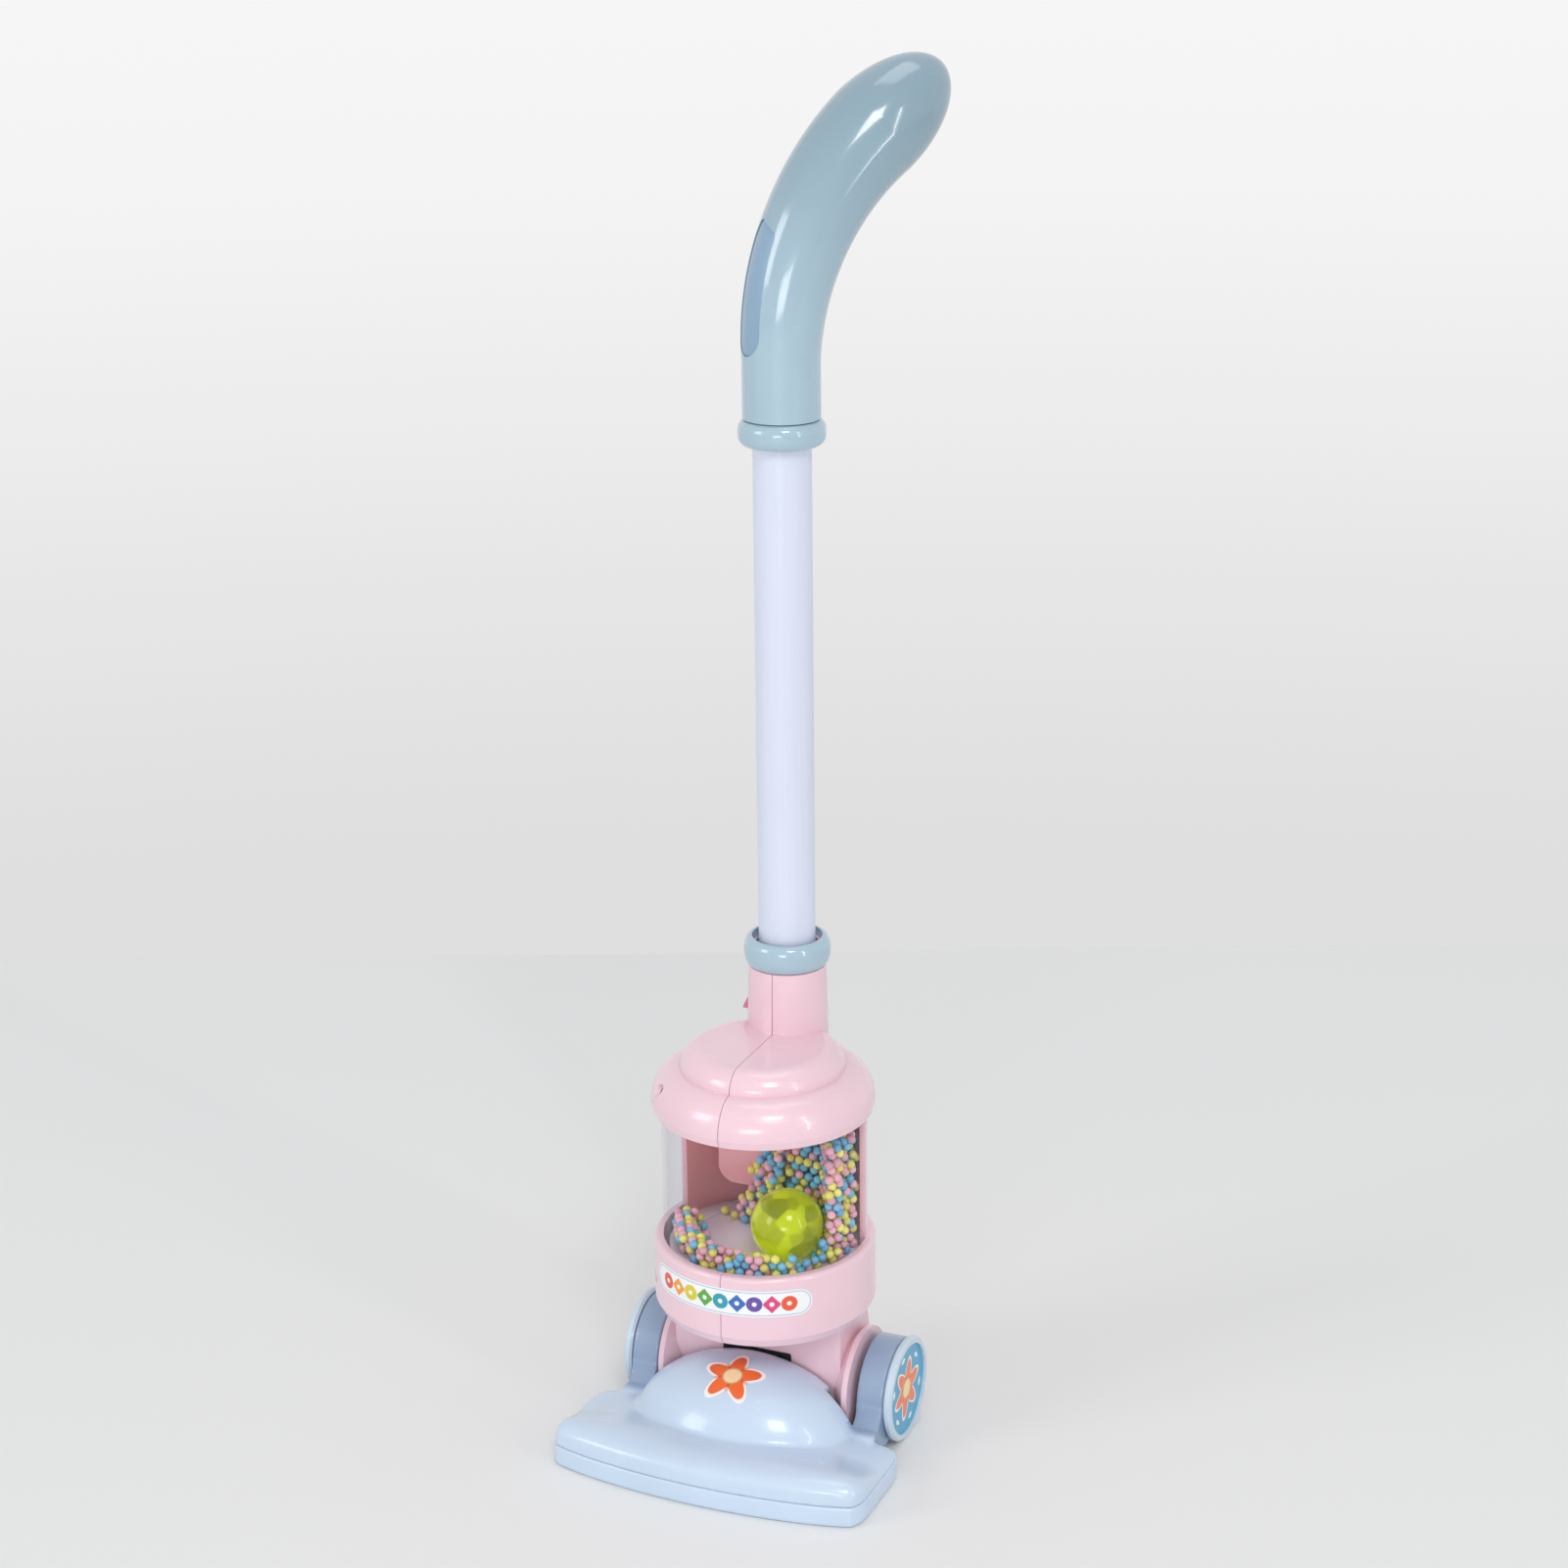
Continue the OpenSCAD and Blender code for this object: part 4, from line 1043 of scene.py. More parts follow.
@dataclass
class Studio:
    """Floor, light and camera."""

    camera_at: Sequence[float] = (516.7, -1185.6, 734.4)
    azimuth: float = 23.13
    pitch: float = 18.55
    roll: float = -0.6
    focal_px: float = 3273.46
    frame_px: float = 1601.0
    centre_px: Sequence[float] = (1.67, 3.92)
    sensor: float = 36.0
    far: float = 60.0
    floor_half: float = 9000.0
    floor_back: float = 572.0
    floor_tone: Colour = (0.905, 0.905, 0.90)
    floor_glow: float = 0.05
    floor_roughness: float = 0.75
    floor_spread: float = 0.01
    floor_clouds: Noise = Noise(1.3)
    room_tone: Colour = (0.94, 0.945, 0.96)
    room_light: float = 0.58
    sky_low: Colour = (0.872, 0.872, 0.872)
    sky_high: Colour = (0.965, 0.965, 0.965)
    sky_middle: float = -0.22
    sky_spread: float = 0.30

    def shoot(self) -> None:
        """Adds the camera at the photograph's angle."""
        a, e, r = map(math.radians, (self.azimuth, self.pitch, self.roll))
        back = Vector((math.sin(a) * math.cos(e), -math.cos(a) * math.cos(e), math.sin(e)))
        right = Vector((math.cos(a), math.sin(a), 0.0))
        up = back.cross(right)
        right, up = right * math.cos(r) + up * math.sin(r), up * math.cos(r) - right * math.sin(r)
        data = bpy.data.cameras.new("camera")
        data.sensor_width = self.sensor
        data.lens = self.focal_px / self.frame_px * data.sensor_width
        data.shift_x = -self.centre_px[0] / self.frame_px
        data.shift_y = self.centre_px[1] / self.frame_px
        data.clip_end = self.far
        camera = bpy.data.objects.new("camera", data)
        turn = Matrix((right, up, back)).transposed().to_4x4()
        camera.matrix_world = Matrix.Translation(Vector(self.camera_at) * MM) @ turn
        bpy.context.scene.collection.objects.link(camera)
        bpy.context.scene.camera = camera

    def lamp(
        self, name: str, at: Sequence[float], aim: Sequence[float], size: Sequence[float], watts: float
    ) -> None:
        """Adds a soft lamp.

        Args:
            name: its name.
            at: where it stands, in metres.
            aim: the point it faces.
            size: width and height of its face.
            watts: its power.
        """
        data = bpy.data.lights.new(name, "AREA")
        data.shape = "RECTANGLE"
        data.size, data.size_y = size
        data.energy = watts
        lamp = bpy.data.objects.new(name, data)
        lamp.location = at
        lamp.rotation_euler = (Vector(aim) - Vector(at)).to_track_quat("-Z", "Y").to_euler()
        bpy.context.scene.collection.objects.link(lamp)

    def floor(self) -> None:
        """Adds the pale floor, which ends in a straight edge behind the toy."""
        a = math.radians(self.azimuth)
        side, away = np.array([math.cos(a), math.sin(a), 0.0]), np.array([-math.sin(a), math.cos(a), 0.0])
        w, back = self.floor_half, self.floor_back
        corners = [side * x + away * y for x, y in ((-w, -w), (w, -w), (w, back), (-w, back))]
        made = piece("floor", corners, [(0, 1, 2, 3)], Shading.FLAT)
        g = Graph.material("studio_floor")
        dark, bright = (linear(self.floor_tone, 1 + c) for c in (-self.floor_spread, self.floor_spread))
        tone = g.mix(g.noise(g.place(), self.floor_clouds), dark, bright)
        shader = g.principled(
            Base_Color=tone,
            Roughness=self.floor_roughness,
            Emission_Color=tone,
            Emission_Strength=self.floor_glow,
        )
        made.data.materials.append(g.finish(shader))

    def world(self) -> None:
        """Adds the even light of the room and the pale backdrop, lighter upwards."""
        world = bpy.data.worlds.new("room")
        bpy.context.scene.world = world
        g = Graph(world)
        _, _, up = g.split(g.node("ShaderNodeTexCoord", out="Generated"))
        high = 1.0 - up.soft_below(self.sky_middle, self.sky_spread)
        shown = g.mix(high, linear(self.sky_low), linear(self.sky_high))
        room = {"Color": linear(self.room_tone), "Strength": self.room_light}
        light = g.node("ShaderNodeBackground", {}, room)
        sky = g.node("ShaderNodeBackground", {}, {"Color": shown, "Strength": 1.0})
        camera = g.node("ShaderNodeLightPath", out="Is Camera Ray")
        seen = camera.math("MAXIMUM", camera.other("Is Glossy Ray"))
        seen = seen.math("MAXIMUM", camera.other("Is Transmission Ray"))
        mixed = g.node("ShaderNodeMixShader", {}, {0: seen, 1: light, 2: sky})
        g.node("ShaderNodeOutputWorld", {}, {"Surface": mixed})

    def build(self) -> None:
        """Builds the studio."""
        bpy.context.scene.view_settings.view_transform = "Standard"
        self.shoot()
        self.floor()
        self.world()
        middle, chamber = (0.0, 0.0, 0.28), (0.0, 0.0, 0.13)
        self.lamp("key", (2.0, -2.9, 3.6), middle, (1.3, 1.3), 57.0)
        self.lamp("strip", (2.3, -0.9, 1.05), middle, (0.10, 1.7), 7.0)
        self.lamp("fill", (-2.8, -3.0, 1.8), middle, (1.4, 1.6), 34.0)
        self.lamp("low", (0.5, -2.6, 0.5), chamber, (0.9, 0.5), 8.5)
        self.lamp("top", (0.2, 0.7, 4.6), middle, (2.2, 2.2), 27.0)


@dataclass
class Grip:
    """The curved grip in two halves, its thumb pad, and the collar below it."""

    tube_r: float = 12.5
    tube_gap: float = 0.05
    tube_top_z: float = 474.0
    tube_room: float = 1.0
    seam_z: float = 456.0
    seam_gap: float = 0.12
    bend_z: float = 481.0
    bend_r: float = 115.0
    bend: float = 51.5
    root_r: float = 16.6
    full_r: float = 21.7
    tip_r: float = 0.02
    cap: float = 41.0
    wall: float = 1.8
    turn: float = 40.0
    collar_power: float = 2.6
    pad_w: float = 17.0
    pad_z0: float = 483.0
    pad_z1: float = 538.0
    pad_arc: int = 6
    pad_crown: Sequence[tuple[float, float]] = (
        (1.0, 12.0),
        (0.93, 7.2),
        (0.6, 1.2),
        (0.45, 0.0),
        (0.2, -0.3),
        (-0.55, 2.6),
        (-0.9, 4.4),
        (-1.0, 6.0),
    )
    pad_sink: float = 0.55
    pad_t: float = 1.6
    pad_gap: float = 0.22
    pad_turn: float = 0.75
    pad_below: float = 12.0
    pad_above: float = 26.0
    tool_from: float = -32.0
    tool_to: float = 3.0
    pad_cols: int = 72
    rows_root: int = 14
    rows_bend: int = 96
    rows_cap: int = 44
    around: int = 128

    def stations(self, inset: float) -> list[Station]:
        """Gives stations along the grip as offset, height, lean and radius.

        Args:
            inset: how far inside the outer surface.

        Returns:
            The stations from the collar up to the end.
        """
        straight = np.linspace(self.seam_z, self.bend_z, self.rows_root)[:-1]
        rows = [(0.0, z, 0.0, self.root_r - inset) for z in straight]
        bend = math.radians(self.bend)
        for j in range(self.rows_bend + 1):
            a = bend * j / self.rows_bend
            r = self.root_r + (self.full_r - self.root_r) * (j / self.rows_bend) - inset
            rows.append((self.bend_r * (1 - math.cos(a)), self.bend_z + self.bend_r * math.sin(a), a, r))
        s, z, _, _ = rows[-1]
        reach = self.cap - inset
        for k in range(1, self.rows_cap + 1):
            t = reach * math.sin(math.pi / 2 * k / self.rows_cap)
            r = (self.full_r - inset) * math.sqrt(max(0.0, 1 - (t / reach) ** 2))
            rows.append((s + t * math.sin(bend), z + t * math.cos(bend), bend, max(r, self.tip_r)))
        return rows

    def placed(self, points: Array) -> Array:
        """Turns points from the grip's own plane into the part's frame.

        Args:
            points: rows of points.

        Returns:
            The turned rows.
        """
        a = math.radians(90 - self.turn)
        x, y, z = points.T
        c, s = math.cos(a), math.sin(a)
        return np.stack([x * c - y * s, x * s + y * c + TUBE_Y, z], -1)

    def ring(self, station: Station, turns: Array) -> Array:
        """Gives the points of one station at the given turns.

        Args:
            station: offset, height, lean and radius.
            turns: angles around it.

        Returns:
            Rows of points.
        """
        s, z, lean, r = station
        out, side = r * np.sin(turns), r * np.cos(turns)
        return np.stack([s + out * math.cos(lean), side, z - out * math.sin(lean)], -1)

    def half(self, name: str, side: int) -> bpy.types.Object:
        """Makes one half as a closed shell.

        Args:
            name: the piece's name.
            side: 1 for the left half, -1 for the right.

        Returns:
            The half, without the pad's pocket.
        """
        turns = np.linspace(-math.pi / 2, math.pi / 2, self.around // 2 + 1)
        if side < 0:
            turns = turns + math.pi
        sheets = [[self.ring(row, turns) for row in self.stations(inset)] for inset in (0.0, self.wall)]
        for ring in sheets[0] + sheets[1]:
            ring[:, 1] += side * self.seam_gap / 2
        for ring in sheets[1]:
            low = ring[:, 2] < self.tube_top_z + self.tube_room
            flat = np.hypot(ring[low, 0], ring[low, 1])
            least = np.maximum(flat, self.tube_r + self.tube_gap)
            ring[low, :2] *= least[:, None] / np.maximum(flat, TINY)[:, None]
        faces = shell_faces(len(sheets[0]), len(turns))
        return piece(name, self.placed(np.concatenate(sheets[0] + sheets[1])), faces)

    def pad_tool(self, name: str, gap: float) -> bpy.types.Object:
        """Makes the prism that cuts the pad's pocket, or trims the pad with a gap.

        Args:
            name: the piece's name.
            gap: how far inside the pocket's outline.

        Returns:
            The prism.
        """
        w, low, top = self.pad_w / 2 - gap, self.pad_z0 + self.pad_w / 2, self.pad_z1 - gap
        arc = [math.radians(a) for a in range(180, 361, self.pad_arc)]
        outline = [(w * math.cos(a), low + w * math.sin(a)) for a in arc]
        outline += [(w * share, top - drop) for share, drop in self.pad_crown]
        points = [(x, y, z) for x in (self.tool_from, self.tool_to) for y, z in outline]
        return piece(name, self.placed(np.array(points)), stack_faces(2, len(outline)))

    def pad(self) -> bpy.types.Object:
        """Makes the thumb pad as a thin curved sheet with a slightly sunk face.

        Returns:
            The pad.
        """
        middle = -math.pi / 2
        turns = np.linspace(middle - self.pad_turn, middle + self.pad_turn, self.pad_cols)
        low, high = self.pad_z0 - self.pad_below, self.pad_z1 + self.pad_above
        rows = [
            [row for row in self.stations(inset) if low < row[1] < high]
            for inset in (self.pad_sink, self.pad_sink + self.pad_t)
        ]
        points = np.concatenate([self.ring(row, turns) for sheet in rows for row in sheet])
        made = piece("thumb_pad_face", self.placed(points), shell_faces(len(rows[0]), len(turns)))
        carve(made, self.pad_tool("pad_trim", self.pad_gap), "INTERSECT")
        return made

    def build(self, paint: "Paint") -> None:
        """Builds and dresses the grip.

        Args:
            paint: the finishes.
        """
        for name, side in (("left", 1), ("right", -1)):
            half = self.half(f"grip_{name}_half", side)
            carve(half, self.pad_tool("pad_pocket", 0.0), "DIFFERENCE")
            paint.stand_for(half, f"grip_{name}", HANDLE, "grip_plastic")
        paint.stand_for(self.pad(), "thumb_pad", HANDLE, "pad_plastic")
        collar = barrel(self.tube_r + self.tube_gap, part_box("grip_collar"), self.collar_power)
        paint.stand_for(lathe("collar_ring", collar, TUBE_Y), "grip_collar", HANDLE, "grip_plastic")


@dataclass
class FloorHead:
    """The floor head: cover with roll, round cover and wheel hoods, the tray, and the sticker."""

    half_w: float = 73.8
    front_y: float = -86.5
    rear_y: float = -25.0
    bow: float = 8.5
    tray_h: float = 9.8
    seam: float = 0.2
    inset: float = 0.5
    wall: float = 2.2
    roll_h: float = 17.2
    slope_share: float = 0.8
    slope_back: float = 10.5
    slope_len: float = 30.0
    mid_dip: float = 0.28
    mid_keep: float = 0.75
    corner_share: float = 0.05
    corner_power: float = 8.0
    corner_reach: float = 1.2
    edge_power: float = 5.0
    round_r: float = 36.6
    round_half: float = 52.0
    round_y: float = -29.8
    round_z: float = 6.5
    hood_r: float = 22.6
    hood_x0: float = 48.5
    hood_x1: float = 61.0
    hood_wall: float = 2.2
    boss_r: float = 5.0
    boss_x: float = 46.1
    boss_sink: float = 1.0
    axle_r: float = 2.03
    past_x: float = 99.0
    arm_z: float = 3.5
    arm_root: float = 14.6
    arm_top: Sequence[tuple[float, float]] = ((0.0, 0.0), (0.07, 0.2), (0.22, 0.33), (0.5, 0.38), (0.8, 0.5))
    yoke_r: float = 20.0
    room_gap: float = 1.5
    cheek_x: float = 35.8
    cheek_room_r: float = 29.0
    valley_fillet: float = 2.0
    seam_edge: float = 0.6
    hood_edge: float = 0.7
    arm_edge: float = 0.4
    arm_fillet: float = 1.2
    arm_foot_edge: float = 0.5
    room_edge: float = 0.9
    hood_fillet: float = 1.6
    rim_low: Sequence[tuple[float, float]] = ((3.2, 0.0), (1.5, 0.15), (0.6, 0.7), (0.15, 1.6), (0.0, 2.6))
    rim_top: Sequence[tuple[float, float]] = ((0.0, 1.2), (0.12, 0.5), (0.5, 0.08), (0.9, 0.0))
    label_r: float = 15.0
    label_tilt: float = 70.0
    label_scale: float = 1.28
    label_petals: int = 5
    label_reach: float = 0.60
    label_wave: float = 0.17
    label_lifts: Sequence[float] = (0.34, 0.05)
    label_rows: int = 22
    label_cols: int = 120
    search: Sequence[float] = (10.0, 80.0)
    halvings: int = 40
    margin: float = 2.0
    lowest: float = 1.0
    quad: float = 0.85
    quick_share: float = 2.2
    side_points: int = 48
    crease: float = 50.0

    def ends(self, x: Array, inset: float) -> tuple[Array, float]:
        """Gives the front and the rear edge of the plan at x, inset."""
        return self.front_y + self.bow * (x / self.half_w) ** 2 + inset, self.rear_y - inset

    def plan(self, x: Array, y: Array, inset: float) -> tuple[Array, Array]:
        """Gives shares across and along the head's plan, 1 at its edge.

        Args:
            x: places across.
            y: places along.
            inset: how far the edge is drawn in.

        Returns:
            The two shares.
        """
        front, rear = self.ends(x, inset)
        su, sv = x / (self.half_w - inset), (y - (front + rear) / 2) / ((rear - front) / 2)
        u, v = su, sv
        for _ in range(2):
            u = su / self.corner(np.minimum(np.abs(v), self.corner_reach))
            v = sv / self.corner(np.minimum(np.abs(u), self.corner_reach))
        return u, v

    def corner(self, share: Array) -> Array:
        """Gives how much a side draws in towards its corner."""
        return 1 - self.corner_share * share**self.corner_power

    def roll_field(self, p: Array, inset: float, drop: float) -> Array:
        """Gives a field for the front roll.

        Args:
            p: rows of points.
            inset: how far its sides are drawn in.
            drop: how far its top is lowered.

        Returns:
            The field, below 0 inside.
        """
        u, v = self.plan(p[:, 0], p[:, 1], inset)
        t = ramp(p[:, 1], self.front_y + self.slope_back, self.slope_len)
        middle = 1 - np.minimum(np.abs(p[:, 0] / self.half_w), 1.0) ** 2
        fall = self.slope_share * (1 - self.mid_keep * middle) * t * t * (3 - 2 * t)
        rise = self.roll_h * (1 - self.mid_dip * middle) * (1 - fall) - drop
        height = (p[:, 2] - self.tray_h - self.seam) / rise
        a, b = 1 - u * u, 1 - v * v
        inside = np.where((a > 0) & (b > 0), a * b, np.minimum(a, b))
        return np.abs(height) ** self.edge_power * np.sign(height) - inside

    def round_centre(self) -> Array:
        """Gives the middle of the round cover."""
        return np.array([0.0, self.round_y, self.round_z])

    def round_cover(self, p: Array, inset: float) -> Array:
        """Gives the distance to the round cover, roughly.

        Args:
            p: rows of points.
            inset: how far it is drawn in.

        Returns:
            Distance, below 0 inside.
        """
        radii = np.array([self.round_half, self.round_r, self.round_r]) - inset
        q = p - self.round_centre()
        near = np.sqrt(((q / radii) ** 2).sum(1))
        slope = np.sqrt(((q / radii**2) ** 2).sum(1))
        return near * (near - 1) / np.maximum(slope, TINY)

    def arm_outline(self) -> list[tuple[float, float]]:
        """Gives the outline in Y and Z of the arm that carries a hood.

        Returns:
            Its corners.
        """
        cover_z, foot_y, axle_y = self.tray_h + self.seam, self.rear_y + self.inset, AXLE_Y - self.yoke_r / 2
        corners = [(self.rear_y - self.arm_root, cover_z), (foot_y, cover_z), (foot_y, self.arm_z)]
        corners += [(axle_y, self.arm_z), (axle_y, AXLE_Z)]
        return corners + [(AXLE_Y - self.hood_r * (1 + a), AXLE_Z * (1 - b)) for a, b in self.arm_top]

    def hood_field(self, p: Array) -> Array:
        """Gives the distance to the hoods with their arms and bosses.

        Args:
            p: rows of points.

        Returns:
            Distance, below 0 inside.
        """
        side = np.column_stack([np.abs(p[:, 0]), p[:, 1:]])
        x0, x1, edge = self.hood_x0 + self.hood_edge, self.hood_x1 - self.hood_edge, self.hood_edge
        hood = drum(side, x0, x1, self.hood_r - edge) - edge
        arm = plate(side, self.arm_outline(), x0, x1) - self.arm_edge
        hood = soft_min(hood, arm, self.arm_fillet)
        hood = np.minimum(hood, drum(side, self.boss_x, self.hood_x0 + self.boss_sink, self.boss_r))
        well = drum(side, self.hood_x0 + self.hood_wall, self.past_x, self.hood_r - self.hood_wall)
        hood = np.maximum(hood, -np.minimum(well, drum(side, 0.0, self.past_x, self.axle_r)))
        return soft_max(hood, self.arm_z - p[:, 2], self.arm_foot_edge)

    def cover_field(self, p: Array) -> Array:
        """Gives the distance to the whole cover.

        Args:
            p: rows of points.

        Returns:
            Distance, below 0 inside.
        """
        roll = levelled(lambda q: self.roll_field(q, self.inset, 0.0), p)
        top = soft_min(roll, self.round_cover(p, 0.0), self.valley_fillet)
        top = soft_max(top, self.tray_h + self.seam - p[:, 2], self.seam_edge)
        hollow = levelled(lambda q: self.roll_field(q, self.inset + self.wall, self.wall), p)
        top = np.maximum(top, -np.minimum(hollow, self.round_cover(p, self.wall)))
        side = np.column_stack([np.abs(p[:, 0]), p[:, 1:]])
        room = AXLE_Y - self.yoke_r - self.room_gap - p[:, 1]
        room = np.minimum(room, drum(side, self.cheek_x, self.past_x, self.cheek_room_r))
        return soft_min(soft_max(top, -room, self.room_edge), self.hood_field(p), self.hood_fillet)

    def cover(self) -> bpy.types.Object:
        """Makes the cover as one smooth moulding.

        Returns:
            The cover.
        """
        low = (-self.half_w - self.margin, self.front_y - self.margin, self.lowest)
        top = max(self.round_z + self.round_r, AXLE_Z + self.hood_r)
        high = (self.half_w + self.margin, AXLE_Y + self.hood_r + self.margin, top + self.margin)
        step = self.quad * 1.0
        points, quads = skin(self.cover_field, low, high, step)
        return piece("head_cover_moulding", points, quads, Shading.CREASED, self.crease)

    def outline(self, inset: float) -> Array:
        """Gives the plan's outline, inset, as rows of x, y.

        Args:
            inset: how far it is drawn in.

        Returns:
            The rows.
        """
        s = np.sin(np.linspace(-math.pi / 2, math.pi / 2, self.side_points, endpoint=False))
        ones = np.ones(self.side_points)
        u, v = np.concatenate([s, ones, -s, -ones]), np.concatenate([-ones, s, ones, -s])
        x = (self.half_w - inset) * u * self.corner(np.abs(v))
        front, rear = self.ends(x, inset)
        y = (front + rear) / 2 + (rear - front) / 2 * v * self.corner(np.abs(u))
        return np.stack([x, y], -1)

    def tray(self) -> bpy.types.Object:
        """Makes the tray with rounded rims.

        Returns:
            The tray.
        """
        rim = [*self.rim_low, *((inset, self.tray_h - drop) for inset, drop in self.rim_top)]
        rim += [(self.wall, self.tray_h), (self.wall, self.wall)]
        rings = [np.insert(self.outline(inset), 2, z, axis=1) for inset, z in rim]
        faces = stack_faces(len(rings), len(rings[0]))
        return piece("base_tray_moulding", np.concatenate(rings), faces, Shading.CREASED, self.crease)

    def label_frame(self) -> tuple[Array, Array, Array]:
        """Gives the sticker's directions across, upward and out."""
        c, s = math.cos(math.radians(90 - self.label_tilt)), math.sin(math.radians(90 - self.label_tilt))
        return np.array([1.0, 0.0, 0.0]), np.array([0.0, c, s]), np.array([0.0, -s, c])

    def sticker(self) -> bpy.types.Object:
        """Makes the die-cut sticker that follows the round cover.

        Returns:
            The sticker.
        """
        across, upward, out = self.label_frame()
        rows, cols = self.label_rows, self.label_cols
        turn = np.linspace(0, 2 * math.pi, cols, endpoint=False)
        edge = self.label_reach + self.label_wave * np.sin(self.label_petals * turn)
        sheets = []
        for lift in self.label_lifts:
            for i in range(rows):
                reach = self.label_r * edge * self.label_scale * max(i / (rows - 1), 1e-3)
                flat = np.outer(reach * np.cos(turn), across) + np.outer(reach * np.sin(turn), upward)
                flat = flat + self.round_centre()
                low, high = (np.full(cols, end) for end in self.search)
                for _ in range(self.halvings):
                    mid = (low + high) / 2
                    inside = self.round_cover(flat + mid[:, None] * out, -lift) < 0
                    low, high = np.where(inside, mid, low), np.where(inside, high, mid)
                sheets.append(flat + low[:, None] * out)
        count, last = rows * cols, (rows - 1) * cols
        ring = [(j, (j + 1) % cols) for j in range(cols)]
        faces = [tuple(range(cols)), tuple(range(count + cols - 1, count - 1, -1))]
        faces += [(last + a, last + b, last + b + count, last + a + count) for a, b in ring]
        for k in range(0, last, cols):
            for a, b in ring:
                quad = (k + a, k + b, k + b + cols, k + a + cols)
                faces += [quad, tuple(q + count for q in reversed(quad))]
        return piece("dome_sticker", np.concatenate(sheets), faces)

    def build(self, paint: "Paint") -> None:
        """Builds and dresses the floor head.

        Args:
            paint: the finishes.
        """
        paint.stand_for(self.cover(), "head_cover", HEAD, "head_plastic")
        paint.stand_for(self.tray(), "base_tray", HEAD, "head_plastic")
        across, upward, out = self.label_frame()
        flower = FlowerPrint(
            "dome_sticker_print",
            (0.97, 0.96, 0.95),
            petal=(0.93, 0.40, 0.13),
            heart=(0.98, 0.86, 0.66),
            centre=(self.round_centre() + out * self.round_r) * MM,
            across=across,
            upward=upward,
            radius=self.label_r * self.label_scale * MM,
            petals=self.label_petals,
        )
        paint.stand_for(self.sticker(), "dome_label", HEAD, "label_white", flower.make())


@dataclass
class Wheels:
    """The two wheels with their round stickers."""

    face_x: float = 63.98
    label_r: float = 20.5
    print_share: float = 0.98
    petals: int = 6

    def build(self, paint: "Paint") -> None:
        """Dresses the wheels' stickers with their printed finish.

        Args:
            paint: the finishes.
        """
        for side, name in ((-1, "left"), (1, "right")):
            flower = FlowerPrint(
                f"{name}_wheel_print",
                (0.20, 0.63, 0.80),
                petal=(0.94, 0.43, 0.15),
                heart=(0.98, 0.87, 0.62),
                centre=(side * self.face_x * MM, AXLE_Y * MM, AXLE_Z * MM),
                across=(0.0, side * 1.0, 0.0),
                upward=(0.0, 0.0, 1.0),
                radius=self.label_r * self.print_share * MM,
                petals=self.petals,
                dots=(0.93, 0.96, 0.97),
            )
            paint.dress(f"{name}_wheel_label", flower.make())


